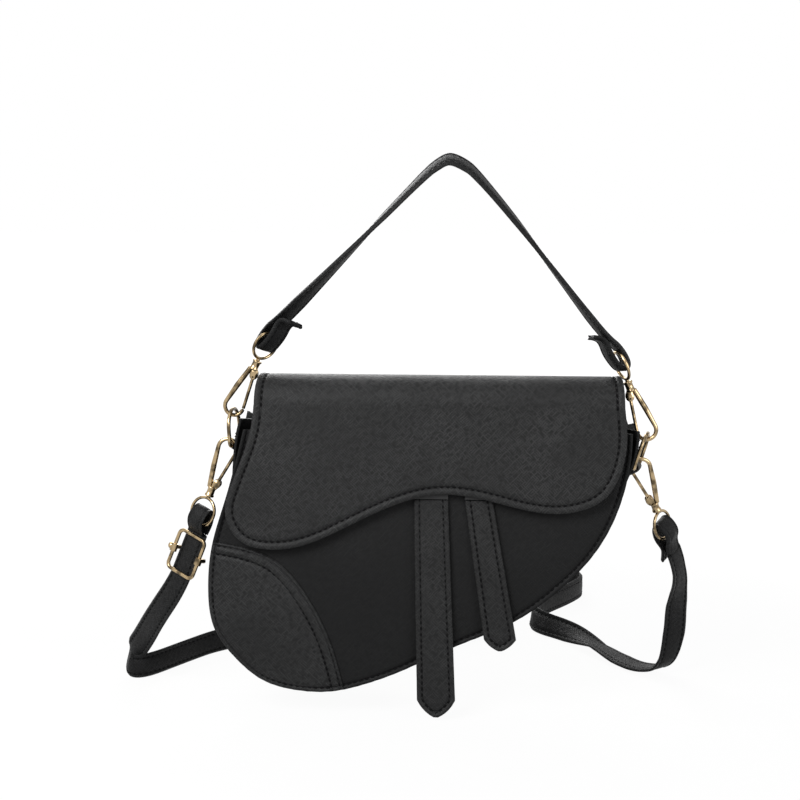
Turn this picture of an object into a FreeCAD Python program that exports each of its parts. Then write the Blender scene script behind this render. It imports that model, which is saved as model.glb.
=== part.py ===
"""Saddle handbag with a short handle and a crossbody strap, both on snap hooks.

Millimetres, +Z up, front towards -Y.  Every piece is drawn with the floor at height zero and
then lowered, so that the origin is the underside of the handle's peak, where the bag is held.
"""
import FreeCAD
import Part
import math
import os
from types import SimpleNamespace

V = FreeCAD.Vector
X_AXIS = V(1, 0, 0)
Y_AXIS = V(0, 1, 0)
Z_AXIS = V(0, 0, 1)

SIZES = (
    # body
    ("body_width", 234.0),
    ("body_height", 146.0),
    ("body_low", 14.0),
    ("depth_bottom", 56.0),
    ("depth_top", 34.0),
    ("panel_thickness", 1.8),
    ("welt_width", 6.0),
    ("welt_thickness", 1.4),
    ("welt_setback", 0.4),
    ("gusset_thickness", 1.6),
    ("seam_width", 4.0),
    ("gusset_flare", 8.0),
    ("gusset_fold", 8.0),
    ("gusset_rise", 1.0),
    ("lining_thickness", 0.7),
    ("patch_thickness", 1.0),
    ("leather_gap", 0.2),
    ("overrun", 20.0),
    # crown and flap
    ("crown_width", 199.0),
    ("crown_rise", 29.5),
    ("crown_clearance", 6.2),
    ("flap_width", 222.0),
    ("flap_length", 80.0),
    ("flap_spread", 3.291),
    ("flap_thickness", 1.8),
    ("flap_lining_thickness", 1.0),
    ("flap_lining_inset", 0.8),
    ("flap_play", 0.5),
    ("hinge_gap", 0.3),
    # hanging tails
    ("tail_thickness", 2.0),
    ("tail_play", 0.3),
    ("tail_hinge_drop", 37.5),
    ("tail_root_length", 15.0),
    ("tail_root_thickness", 1.2),
    ("left_tail_place", -3.6),
    ("left_tail_lean", 3.6),
    ("left_tail_top", 18.8),
    ("left_tail_width", 21.2),
    ("left_tail_length", 121.6),
    ("left_tail_tip", 10.2),
    ("right_tail_place", 22.7),
    ("right_tail_lean", 12.4),
    ("right_tail_top", 15.4),
    ("right_tail_width", 17.7),
    ("right_tail_length", 83.4),
    ("right_tail_tip", 6.8),
    # magnetic snap
    ("snap_place", -70.0),
    ("snap_drop", 42.0),
    ("snap_diameter", 14.0),
    ("snap_bore", 6.4),
    ("socket_thickness", 1.0),
    ("stud_thickness", 0.8),
    ("stud_diameter", 4.4),
    ("stud_reach", 1.2),
    # rings and their tabs
    ("ring_wire", 2.2),
    ("ring_half_width", 10.5),
    ("ring_height", 20.0),
    ("ring_corner", 3.0),
    ("left_ring_rise", 9.0),
    ("left_ring_lean", -3.0),
    ("left_ring_turn", -6.0),
    ("right_ring_setback", 1.2),
    ("right_ring_rise", -2.2),
    ("right_ring_lean", 17.0),
    ("right_ring_turn", -14.0),
    ("tab_width", 10.0),
    ("tab_leather", 1.5),
    ("tab_drop", 30.0),
    ("tab_bend", 13.0),
    ("tab_gap", 0.45),
    ("bore_play", 0.1),
    # snap hooks
    ("hook_reach", 26.6),
    ("hook_bow", 5.3),
    ("hook_wire", 2.4),
    ("hook_play", 0.4),
    ("upper_slack", 0.8),
    ("lower_left_play", 1.6),
    ("lower_right_play", 0.8),
    ("lower_right_slack", 0.5),
    ("barrel_length", 6.0),
    ("barrel_diameter", 5.4),
    ("chamber_diameter", 3.6),
    ("chamber_floor", 1.0),
    ("chamber_roof", 2.0),
    ("post_diameter", 2.2),
    ("head_diameter", 3.4),
    ("head_length", 1.2),
    ("swivel_play", 0.08),
    ("eye_radius", 8.0),
    ("eye_wire", 1.8),
    ("eye_neck", 1.4),
    ("cheek_width", 4.6),
    ("cheek_depth", 3.8),
    ("cheek_length", 5.6),
    ("slot_width", 2.0),
    ("slot_roof", 1.3),
    ("gate_diameter", 1.9),
    ("gate_root", 3.0),
    ("gate_root_depth", 1.7),
    ("gate_side", 1.9),
    ("gate_drop", 6.5),
    ("gate_gap", 0.3),
    ("nose_angle", 10.0),
    ("pin_diameter", 1.0),
    # straps
    ("strap_thickness", 2.2),
    ("strap_width", 15.0),
    ("handle_width", 12.0),
    ("loop_width", 12.0),
    ("floor_gap", 0.4),
    ("peak_place", 5.0),
    ("peak_rise", 149.6),
    ("peak_half_width", 4.0),
    # slide adjuster
    ("slider_reach", 39.0),
    ("slider_half_width", 9.6),
    ("slider_half_length", 11.6),
    ("slider_corner", 3.0),
    ("slider_wire", 2.2),
    ("slider_bar", 2.4),
    ("collar_diameter", 4.2),
    ("collar_length", 4.4),
    ("slider_play", 0.4),
    ("slider_travel", 8.0),
    ("ball_diameter", 4.0),
)

doc = FreeCAD.newDocument("saddle_bag")
sheet = doc.addObject("Spreadsheet::Sheet", "Sizes")
for row, (alias, value) in enumerate(SIZES, start=1):
    sheet.set(f"A{row}", str(value))
    sheet.setAlias(f"A{row}", alias)
doc.recompute()
size = SimpleNamespace(**{alias: float(sheet.get(alias)) for alias, _ in SIZES})

# Outlines, as shares of the width and height of the piece that they bound.
PANEL_SHARES = (
    (-0.463, 1.0), (-0.507, 0.731), (-0.539, 0.556), (-0.549, 0.382), (-0.533, 0.226),
    (-0.484, 0.119), (-0.419, 0.035), (-0.327, -0.004), (-0.255, -0.005), (-0.183, 0.021),
    (-0.087, 0.079), (0.039, 0.177), (0.185, 0.283), (0.29, 0.409), (0.359, 0.525),
    (0.404, 0.64), (0.438, 0.792), (0.452, 0.924), (0.454, 1.0),
)
FLAP_SHARES = (
    (-0.46, 0.0), (-0.468, 0.183), (-0.492, 0.392), (-0.52, 0.602), (-0.53, 0.741),
    (-0.514, 0.879), (-0.478, 0.968), (-0.428, 1.0), (-0.34, 0.975), (-0.241, 0.86),
    (-0.117, 0.694), (-0.001, 0.607), (0.105, 0.63), (0.204, 0.694), (0.282, 0.724),
    (0.35, 0.702), (0.411, 0.617), (0.447, 0.458), (0.463, 0.253), (0.458, 0.0),
)
PATCH_EDGE_SHARES = ((-0.387, 0.503), (-0.303, 0.351), (-0.255, 0.198))
PATCH_RUN_SHARES = (0.15, 0.466)
BACK_TOP_SHARE = 0.435
FLARE_START_SHARE = 0.62

# Where the straps' loops run, across and along the hook that they hang on, as shares of the
# eye's radius: first the free end, last the long run.
HANDLE_LOOP_SHARES = (
    (0.58, 3.56), (0.62, 2.7), (0.41, 1.84), (0.16, 1.3), (-0.3, 1.36), (-0.42, 1.92),
    (-0.19, 2.98), (0.24, 3.68),
)
HANDLE_LEFT_TIP_SHARES = ((1.66, 4.02), (0.96, 4.0))
HANDLE_RIGHT_TIP_SHARES = ((1.22, 4.16), (0.86, 3.98))
STRAP_LOOP_SHARES = (
    (0.68, 4.35), (0.42, 3.8), (0.28, 3.3), (0.58, 2.6), (0.52, 1.84), (0.22, 1.32),
    (-0.22, 1.32), (-0.52, 1.84), (-0.58, 2.5), (-0.14, 3.2), (-0.14, 3.85),
)
SLIDER_LOOP_SHARES = (
    (0.48, 3.05), (0.6, 2.5), (0.5, 1.84), (0.22, 1.32),
    (-0.22, 1.32), (-0.5, 1.84), (-0.5, 2.5), (0.1, 3.05),
)

# The crossbody strap's route from the slide adjuster over the floor to the other hook: points
# and the directions of the strap's width.  Places are shares of the body's width; heights are
# shares of the height where the strap leaves the adjuster, of the height at which it lies on
# the floor, and of the height where it meets the other loop.
STRAP_FALL_SHARES = (
    ((-0.7073, 0.0128, 0.7365), (0.82, -0.49, -0.3)),
    ((-0.7564, 0.0769, 0.4337), (0.82, -0.5, -0.1)),
    ((-0.7991, 0.1239, 0.2128), (0.6, -0.6, 0.6)),
)
STRAP_FLOOR_SHARES = (
    ((-0.7991, 0.0897, 1.0), (0.1, -0.1, 1.0)),
    ((-0.7521, 0.0983, 1.0), (0.0, 0.0, 1.0)),
    ((-0.6795, 0.2179, 1.0), (0.0, 0.0, 1.0)),
    ((-0.6068, 0.3291, 1.0), (0.0, 0.0, 1.0)),
    ((-0.4615, 0.4231, 1.0), (0.0, 0.0, 1.0)),
    ((-0.2479, 0.4701, 1.0), (0.0, 0.0, 1.0)),
    ((-0.0171, 0.4915, 1.0), (0.0, 0.0, 1.0)),
    ((0.1111, 0.5256, 1.0), (0.0, 0.0, 1.0)),
    ((0.1624, 0.6239, 1.0), (0.0, 0.0, 1.0)),
    ((0.1026, 0.7137, 1.0), (0.0, 0.0, 1.0)),
    ((-0.0256, 0.7222, 1.0), (0.0, 0.0, 1.0)),
    ((-0.2479, 0.6923, 1.0), (0.0, 0.0, 1.0)),
    ((-0.3761, 0.7179, 1.0), (0.0, 0.0, 1.0)),
    ((-0.4274, 0.812, 1.0), (0.0, 0.0, 1.0)),
    ((-0.3675, 0.906, 1.0), (0.0, 0.0, 1.0)),
    ((-0.2222, 0.9274, 1.0), (0.0, 0.0, 1.0)),
    ((0.0342, 0.9786, 1.0), (0.0, 0.0, 1.0)),
    ((0.265, 1.0256, 1.0), (0.0, 0.0, 1.0)),
    ((0.3761, 1.0085, 1.0), (0.0, 0.0, 1.0)),
    ((0.406, 0.9231, 1.0), (0.0, 0.0, 1.0)),
    ((0.359, 0.8291, 1.0), (0.0, 0.0, 1.0)),
    ((0.2821, 0.7179, 1.0), (0.0, 0.0, 1.0)),
    ((0.2393, 0.6325, 1.0), (0.1, 0.1, 1.0)),
    ((0.2521, 0.5556, 0.9114), (0.4, 0.28, 0.9)),
    ((0.3034, 0.4786, 0.6582), (0.75, 0.52, 0.45)),
    ((0.3675, 0.3889, 0.3291), (0.82, 0.56, 0.12)),
    ((0.4402, 0.2991, 0.2405), (0.7, 0.7, 0.0)),
    ((0.5085, 0.2436, 0.2532), (0.65, 0.76, 0.0)),
)
STRAP_RISE_SHARES = (
    ((0.5598, 0.2137, 0.1252), (0.82, 0.57, 0.0)),
    ((0.5855, 0.1923, 0.3894), (0.94, 0.34, 0.0)),
    ((0.594, 0.1667, 0.6815), (0.9, 0.43, 0.1)),
)
# the runs in which the strap's pieces meet
STRAP_SPLITS = (7, 24)

pieces = []


def cell(name):
    return "Sizes." + name


def shift(offset):
    return FreeCAD.Placement(offset, FreeCAD.Rotation())


def turned(axis, angle, base=V()):
    return FreeCAD.Placement(base, FreeCAD.Rotation(axis, angle))


def axes(origin, across, up):
    """A placement whose Z runs up and whose X runs across, made square to it."""
    z = V(up).normalize()
    x = (V(across) - z * z.dot(across)).normalize()
    y = z.cross(x)
    return FreeCAD.Placement(FreeCAD.Matrix(
        x.x, y.x, z.x, origin.x,
        x.y, y.y, z.y, origin.y,
        x.z, y.z, z.z, origin.z,
        0, 0, 0, 1,
    ))


BODY_TOP = size.body_low + size.body_height
PEAK_HEIGHT = BODY_TOP + size.peak_rise
GRIP_HEIGHT = PEAK_HEIGHT - size.strap_thickness / 2
LOWERED = shift(V(-size.peak_place, 0, -GRIP_HEIGHT))


def publish(obj, label, placement=FreeCAD.Placement()):
    """Name a finished piece and lower it so that the grip is the origin."""
    obj.Label = label
    obj.Placement = LOWERED.multiply(placement)
    pieces.append(obj)
    return obj


def solid(label, shape):
    feature = doc.addObject("Part::Feature", label)
    feature.Shape = shape
    return feature


# Curves


def smooth(points):
    curve = Part.BSplineCurve()
    curve.interpolate([V(x, y, 0) for x, y in points])
    return curve


def line(start, end):
    return Part.LineSegment(start, end)


def stations(curve, count, start_share=0.0, end_share=1.0):
    """Points along a curve, each with the direction square to it on its inner side."""
    found = []
    for i in range(count + 1):
        share = start_share + (end_share - start_share) * i / count
        u = curve.FirstParameter + share * (curve.LastParameter - curve.FirstParameter)
        tangent = curve.tangent(u)[0]
        found.append((curve.value(u), V(-tangent.y, tangent.x, 0)))
    return found


def inset(curve, distance, count=40):
    return smooth([
        (p.x + n.x * distance, p.y + n.y * distance) for p, n in stations(curve, count)
    ])


def ends(curve):
    return curve.value(curve.FirstParameter), curve.value(curve.LastParameter)


def closed(curve):
    first, last = ends(curve)
    return [curve, line(last, first)]


def band(outer, inner):
    """The strip between two curves that run the same way."""
    a, b = ends(outer)
    c, d = ends(inner)
    return [outer, line(b, d), inner, line(c, a)]


# Solids from sketches and primitives


def sketch_on(body, role, name, curves):
    plane = next(f for f in body.Origin.OriginFeatures if f.Role == role)
    sketch = body.newObject("Sketcher::SketchObject", name)
    sketch.AttachmentSupport = [(plane, "")]
    sketch.MapMode = "FlatFace"
    sketch.addGeometry(curves, False)
    return sketch


def pad(label, role, curves, length, backwards=False):
    body = doc.addObject("PartDesign::Body", label)
    sketch = sketch_on(body, role, label + "_sketch", curves)
    feature = body.newObject("PartDesign::Pad", label + "_pad")
    feature.Profile = sketch
    feature.setExpression("Length", length)
    feature.Reversed = backwards
    return body


def cylinder(name, diameter, height, placement):
    obj = doc.addObject("Part::Cylinder", name)
    obj.setExpression("Radius", f"({diameter}) / 2")
    obj.setExpression("Height", height)
    obj.Placement = placement
    return obj


def box(name, length, width, height, placement):
    obj = doc.addObject("Part::Box", name)
    obj.setExpression("Length", length)
    obj.setExpression("Width", width)
    obj.setExpression("Height", height)
    obj.Placement = placement
    return obj


def fuse(name, shapes):
    obj = doc.addObject("Part::MultiFuse", name)
    obj.Shapes = shapes
    return obj


def cut(name, base, tools):
    obj = doc.addObject("Part::Cut", name)
    obj.Base = base
    obj.Tool = tools[0] if len(tools) == 1 else fuse(name + "_tools", tools)
    return obj


def wire_form(name, edges, wire):
    """Round wire bent along lines and tangent arcs that lie in the XZ plane."""
    path = Part.Wire(edges)
    spine = solid(name + "_spine", path)
    start = path.OrderedEdges[0]
    section = doc.addObject("Part::Circle", name + "_section")
    section.setExpression("Radius", f"{wire} / 2")
    section.Placement = axes(start.valueAt(start.FirstParameter), Y_AXIS,
                             start.tangentAt(start.FirstParameter))
    sweep = doc.addObject("Part::Sweep", name)
    sweep.Sections = [section]
    sweep.Spine = (spine, [])
    sweep.Solid = True
    return sweep


# Straps


def routed(points, step_angle=15.0):
    """Straight runs joined by tangent arcs, each as large as its two runs allow.

    Gives points with their directions, and their places along the list of points."""
    runs = [b - a for a, b in zip(points, points[1:])]
    found = [(points[0], V(runs[0]).normalize(), 0.0)]
    radii = []
    for i in range(1, len(points) - 1):
        before = V(runs[i - 1]).normalize()
        after = V(runs[i]).normalize()
        turn = before.getAngle(after)
        reach = 0.45 * min(runs[i - 1].Length, runs[i].Length)
        radius = reach / math.tan(turn / 2)
        radii.append(radius)
        inward = (after - before).normalize()
        centre = points[i] + inward * (radius / math.cos(turn / 2))
        steps = 1 + int(math.degrees(turn) / step_angle)
        for k in range(steps + 1):
            share = k / steps
            first = math.sin((1 - share) * turn) / math.sin(turn)
            second = math.sin(share * turn) / math.sin(turn)
            direction = before * first + after * second
            outward = inward * -1
            across = (outward - direction * outward.dot(direction)).normalize()
            back = reach / runs[i - 1].Length * max(0.0, 1 - 2 * share)
            ahead = reach / runs[i].Length * max(0.0, 2 * share - 1)
            found.append((centre + across * radius, direction, i - back + ahead))
    found.append((points[-1], V(runs[-1]).normalize(), len(points) - 1.0))
    return found, radii


def blended(vectors, place):
    low = min(int(place), len(vectors) - 2)
    share = place - low
    return vectors[low] * (1 - share) + vectors[low + 1] * share


def route_part(route, points, start, end):
    """The stretch of a route between two places, each in the middle of a straight run."""
    def middle(place):
        low = int(place)
        run = points[low + 1] - points[low]
        return (points[low] + run / 2, V(run).normalize(), place)

    part = [s for s in route if start < s[2] < end]
    if start > 0:
        part.insert(0, middle(start))
    if end < len(points) - 1:
        part.append(middle(end))
    return part


def ribbon(label, points, width_directions, width, thickness, start=-1.0, end=math.inf):
    """A flat strap along a route, its width lying along the given directions."""
    route, radii = routed(points)
    route = route_part(route, points, start, end)
    sections = []
    for place, direction, share in route:
        across = blended(width_directions, share)
        across = (across - direction * across.dot(direction)).normalize() * (width / 2)
        through = direction.cross(across).normalize() * (thickness / 2)
        corners = [place + across + through, place - across + through,
                   place - across - through, place + across - through]
        sections.append(Part.makePolygon(corners + corners[:1]))
    shape = Part.makeLoft(sections, True, True)
    length = sum((b[0] - a[0]).Length for a, b in zip(route, route[1:]))
    share = shape.Volume / (length * width * thickness)
    print(f"{label}: {length:.0f} long, smallest radius {min(radii):.1f}, volume share {share:.3f}")
    return solid(label, shape)


# Body


PANEL_TILT = math.degrees(math.atan((size.depth_bottom - size.depth_top) / 2 / size.body_height))
SLOPE = math.tan(math.radians(PANEL_TILT))
STRETCH = 1 / math.cos(math.radians(PANEL_TILT))
CROWN_TOP = BODY_TOP + size.crown_rise
FLAP_TILT = PANEL_TILT + size.flap_spread
TAIL_HINGE = BODY_TOP - size.tail_hinge_drop
SNAP_HEIGHT = BODY_TOP - size.snap_drop
# how far a wide crown reaches past the panels' top corners, which then flare as far
CROWN_OVERHANG = max(0.0, size.crown_width / 2 + size.crown_clearance
                     - PANEL_SHARES[-1][0] * size.body_width)


def outer_depth(height):
    """How far the outer face of a panel stands from the middle plane."""
    return size.depth_bottom / 2 - SLOPE * (height - size.body_low)


def seam_depth(height):
    return outer_depth(height) - size.panel_thickness * STRETCH


def on_panel(offset, side=-1):
    """Panel plane: local X and Z lie in the seam plane, and offset goes inwards."""
    base = V(0, side * (seam_depth(0) - offset * STRETCH), 0)
    return turned(X_AXIS, side * PANEL_TILT, base)


def panel_points(stretch):
    return [(x * size.body_width, (size.body_low + z * size.body_height) * stretch)
            for x, z in PANEL_SHARES]


outline = smooth(panel_points(1.0))
slope_outline = smooth(panel_points(STRETCH))


def crown_circle():
    """Centre and radius of the arc that meets the flap's and the back panel's outer faces."""
    flap = math.radians(FLAP_TILT)
    back = math.radians(PANEL_TILT)
    shell = size.flap_thickness + size.flap_lining_thickness
    front_y = -(outer_depth(BODY_TOP) + size.flap_play) - shell / math.cos(flap)
    # (front point - centre) . n_front = r and (back point - centre) . n_back = r, where the
    # centre lies r below the crown's top
    front_side = front_y * -math.cos(flap) + (BODY_TOP - CROWN_TOP) * math.sin(flap)
    back_side = outer_depth(BODY_TOP) * math.cos(back)
    back_side += (BODY_TOP - CROWN_TOP) * math.sin(back)
    front_rate = (1 - math.sin(flap)) / math.cos(flap)
    back_rate = (1 - math.sin(back)) / math.cos(back)
    radius = (front_side / math.cos(flap) + back_side / math.cos(back)) / (front_rate + back_rate)
    centre_y = back_side / math.cos(back) - radius * back_rate
    return centre_y, CROWN_TOP - radius, radius


CROWN_Y, CROWN_Z, CROWN_RADIUS = crown_circle()
HINGE = V(0, CROWN_Y - CROWN_RADIUS * math.cos(math.radians(FLAP_TILT)),
          CROWN_Z + CROWN_RADIUS * math.sin(math.radians(FLAP_TILT)))
BACK_TOP = CROWN_Z + CROWN_RADIUS * math.sin(math.radians(PANEL_TILT))


def make_panels():
    front = pad("front_panel", "XZ_Plane", closed(slope_outline), cell("panel_thickness"))
    publish(front, "front_panel", on_panel(0))
    first, last = ends(slope_outline)
    top = (BACK_TOP - size.panel_thickness * math.sin(math.radians(PANEL_TILT))) * STRETCH
    half = BACK_TOP_SHARE * size.body_width
    left, right = V(-half, top, 0), V(half, top, 0)
    rear_curves = [slope_outline, line(last, right), line(right, left), line(left, first)]
    rear = pad("back_panel", "XZ_Plane", rear_curves, cell("panel_thickness"), backwards=True)
    publish(rear, "back_panel", on_panel(0, side=1))
    strip = band(inset(slope_outline, size.welt_setback), inset(slope_outline, size.welt_width))
    front_welt = pad("front_welt", "XZ_Plane", strip, cell("welt_thickness"), backwards=True)
    publish(front_welt, "front_welt", on_panel(0))
    back_welt = pad("back_welt", "XZ_Plane", strip, cell("welt_thickness"))
    publish(back_welt, "back_welt", on_panel(0, side=1))


def make_corner_patch():
    """The reinforcing patch over the panel's rounded lower corner."""
    start, end = PATCH_RUN_SHARES
    run = [(p.x + n.x * size.welt_setback, p.y + n.y * size.welt_setback)
           for p, n in stations(slope_outline, 16, start, end)]
    edge = [(x * size.body_width, (size.body_low + z * size.body_height) * STRETCH)
            for x, z in PATCH_EDGE_SHARES]
    curves = [smooth(run), smooth([run[0]] + edge + [run[-1]])]
    patch = pad("corner_patch", "XZ_Plane", curves, cell("patch_thickness"))
    publish(patch, "corner_patch", on_panel(-size.panel_thickness))


def rise_share(height):
    """0 where the gusset follows the panel's edge, growing to 1 at the panel's top."""
    low = size.body_low + FLARE_START_SHARE * size.body_height
    share = min(1.0, max(0.0, (height - low) / (BODY_TOP - low)))
    return share * share * (3 - 2 * share)


def gusset_inset(height):
    return size.seam_width - (size.gusset_flare + CROWN_OVERHANG) * rise_share(height)


def gusset_half_depth(height):
    return seam_depth(height) - (size.welt_thickness + size.leather_gap) * STRETCH


def make_gusset():
    """The side and bottom strip, flared at its top ends and folded inwards between them."""
    line_of = stations(outline, 48)
    first, last = line_of[0], line_of[-1]
    up_left = (line_of[0][0] - line_of[1][0]).normalize() * size.gusset_rise
    up_right = (line_of[-1][0] - line_of[-2][0]).normalize() * size.gusset_rise
    line_of = [(first[0] + up_left, first[1])] + line_of + [(last[0] + up_right, last[1])]
    sections = []
    for place, inward in line_of:
        edge = gusset_inset(place.y)
        rise = max(0.0, inward.y) * (edge + size.gusset_thickness)
        depth = gusset_half_depth(place.y + rise)
        middle = edge + size.gusset_fold * rise_share(place.y)
        profile = [(-depth, edge), (0, middle), (depth, edge)]
        profile += [(y, d + size.gusset_thickness) for y, d in reversed(profile)]
        corners = [V(place.x + inward.x * d, y, place.y + inward.y * d) for y, d in profile]
        sections.append(Part.makePolygon(corners + corners[:1]))
    publish(solid("gusset", Part.makeLoft(sections, True, True)), "gusset")


def make_lining():
    """An open-topped pouch inside the panels and the gusset."""
    reach = max(size.welt_width, size.seam_width + size.gusset_thickness) + size.leather_gap

    def core(name, wall, above):
        edge = inset(outline, reach + wall)
        first, last = ends(edge)
        rise = V(0, above, 0)
        curves = [edge, line(last, last + rise), line(last + rise, first + rise),
                  line(first + rise, first)] if above else closed(edge)
        block = pad(name + "_outline", "XZ_Plane", curves, cell("depth_bottom"))
        block.setExpression("Placement.Base.y", cell("depth_bottom") + " / 2")
        top = CROWN_TOP + size.overrun
        margin = (wall + size.leather_gap) * STRETCH
        low = seam_depth(0) - margin
        high = seam_depth(top) - margin
        corners = [V(-low, 0, 0), V(low, 0, 0), V(high, top, 0), V(-high, top, 0)]
        sides = [line(a, b) for a, b in zip(corners, corners[1:] + corners[:1])]
        wedge = pad(name + "_wedge", "YZ_Plane", sides, cell("body_width") + " * 2")
        wedge.setExpression("Placement.Base.x", "-" + cell("body_width"))
        common = doc.addObject("Part::Common", name)
        common.Base = block
        common.Tool = wedge
        return common

    outer = core("lining_outside", 0.0, 0.0)
    inner = core("lining_inside", size.lining_thickness, size.overrun)
    publish(cut("lining", outer, [inner]), "lining")


def make_crown():
    """The rounded top fold between the back panel and the flap."""
    shell = size.flap_thickness + size.flap_lining_thickness
    start = math.radians(PANEL_TILT)
    end = math.pi - math.radians(FLAP_TILT)

    def at(radius, angle):
        return V(CROWN_Y + radius * math.cos(angle), CROWN_Z + radius * math.sin(angle), 0)

    inner = CROWN_RADIUS - shell
    middle = (start + end) / 2
    outer_arc = Part.Arc(at(CROWN_RADIUS, start), at(CROWN_RADIUS, middle), at(CROWN_RADIUS, end))
    inner_arc = Part.Arc(at(inner, start), at(inner, middle), at(inner, end))
    curves = [outer_arc, line(at(CROWN_RADIUS, end), at(inner, end)), inner_arc,
              line(at(inner, start), at(CROWN_RADIUS, start))]
    crown = pad("crown", "YZ_Plane", curves, cell("crown_width"))
    publish(crown, "crown", shift(V(-size.crown_width / 2, 0, 0)))


# Flap, its snap and the tails under it


def on_flap(depth):
    """Flap plane, its zero line the hinge on the outer face, depth going inwards."""
    tilt = turned(X_AXIS, -FLAP_TILT, HINGE)
    return tilt.multiply(shift(V(0, depth, 0)))


def flap_drop(height):
    """How far down the flap a height lies."""
    return (height - HINGE.z) / math.cos(math.radians(FLAP_TILT))


def make_flap():
    edge = smooth([(x * size.flap_width, -size.hinge_gap - z * size.flap_length)
                   for x, z in FLAP_SHARES])
    flap = pad("flap", "XZ_Plane", closed(edge), cell("flap_thickness"), backwards=True)
    publish(flap, "flap", on_flap(0))
    curves = closed(inset(edge, size.flap_lining_inset))
    lining = pad("flap_lining", "XZ_Plane", curves, cell("flap_lining_thickness"), backwards=True)
    publish(lining, "flap_lining", on_flap(size.flap_thickness))


def make_snap():
    """A magnetic snap: socket on the front panel, stud inside the flap."""
    into_panel = on_panel(-size.panel_thickness - size.leather_gap)
    front = FreeCAD.Rotation(X_AXIS, 90)
    centre = V(size.snap_place, 0, SNAP_HEIGHT * STRETCH)
    disc = cylinder("socket_disc", cell("snap_diameter"), cell("socket_thickness"),
                    FreeCAD.Placement(centre, front))
    bore = cylinder("socket_bore", cell("snap_bore"), cell("socket_thickness"),
                    FreeCAD.Placement(centre, front))
    publish(cut("snap_socket", disc, [bore]), "snap_socket", into_panel)
    shell = size.flap_thickness + size.flap_lining_thickness + size.leather_gap
    back = FreeCAD.Rotation(X_AXIS, -90)
    centre = V(size.snap_place, 0, flap_drop(SNAP_HEIGHT))
    disc = cylinder("stud_disc", cell("snap_diameter"), cell("stud_thickness"),
                    FreeCAD.Placement(centre, back))
    peg = cylinder("stud_peg", cell("stud_diameter"),
                   cell("stud_thickness") + " + " + cell("stud_reach"),
                   FreeCAD.Placement(centre, back))
    publish(fuse("snap_stud", [disc, peg]), "snap_stud", on_flap(shell))


def make_tail(side, place, lean, top, width, length, tip):
    """A pointed leather tail, and its root sewn under the flap."""
    start = TAIL_HINGE * STRETCH
    end = start - length
    shoulder = end + tip
    left_top, right_top = V(place - top / 2, start, 0), V(place + top / 2, start, 0)
    left_low = V(place + lean - width / 2, shoulder, 0)
    right_low = V(place + lean + width / 2, shoulder, 0)
    point = V(place + lean, end, 0)
    curves = [line(left_top, left_low), Part.Arc(left_low, point, right_low),
              line(right_low, right_top), line(right_top, left_top)]
    name = side + "_tail"
    tail = pad(name, "XZ_Plane", curves, cell("tail_thickness"))
    publish(tail, name, on_panel(-size.panel_thickness - size.tail_play))
    low = flap_drop(TAIL_HINGE + 4 * size.hinge_gap)
    shell = size.flap_thickness + size.flap_lining_thickness + size.leather_gap
    root = box(name + "_root", f"{cell(name)}_top", cell("tail_root_thickness"),
               cell("tail_root_length"), FreeCAD.Placement())
    publish(root, name + "_root", on_flap(shell).multiply(shift(V(place - top / 2, 0, low))))


def make_tails():
    for side in ("left", "right"):
        values = [getattr(size, f"{side}_tail_{what}")
                  for what in ("place", "lean", "top", "width", "length", "tip")]
        make_tail(side, *values)


# Rings and their tabs


def ring_frame(side):
    """The ring's own frame: X along its bar, Z from the bar to the top of the bow."""
    lean = math.radians(getattr(size, side + "_ring_lean"))
    up = V(math.sin(lean), 0, math.cos(lean))
    half = size.body_width / 2 + CROWN_OVERHANG
    place = -half if side == "left" else half - size.right_ring_setback
    top = V(place, 0, BODY_TOP + getattr(size, side + "_ring_rise"))
    turn = FreeCAD.Rotation(up, getattr(size, side + "_ring_turn"))
    return axes(top - up * size.ring_height, turn.multVec(Y_AXIS), up)


def make_ring(side):
    half, corner = size.ring_half_width, size.ring_corner
    leg = size.ring_height - half
    diagonal = corner * (1 - math.sqrt(0.5))

    def at(x, z):
        return V(x, 0, z)

    right = Part.Arc(at(half - corner, 0), at(half - diagonal, diagonal), at(half, corner))
    left = Part.Arc(at(-half, corner), at(diagonal - half, diagonal), at(corner - half, 0))
    bow = Part.Arc(at(half, leg), at(0, size.ring_height), at(-half, leg))
    parts = [line(at(0, 0), at(half - corner, 0)), right, line(at(half, corner), at(half, leg)),
             bow, line(at(-half, leg), at(-half, corner)), left, line(at(corner - half, 0), at(0, 0))]
    name = side + "_d_ring"
    publish(wire_form(name, [p.toShape() for p in parts], cell("ring_wire")), name,
            ring_frame(side))


def gusset_face(height, side):
    """The point on the gusset's outer face at a height, in the middle of its fold."""
    run = stations(outline, 400)
    run = run[:200] if side == "left" else run[200:]
    place, inward = min(run, key=lambda s: abs(s[0].y - height))
    share = rise_share(height)
    reach = size.tab_width / 2 / gusset_half_depth(height)
    distance = gusset_inset(height) + size.gusset_fold * share * (1 - reach) - size.tab_gap
    return V(place.x + inward.x * distance, 0, place.y + inward.y * distance)


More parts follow.
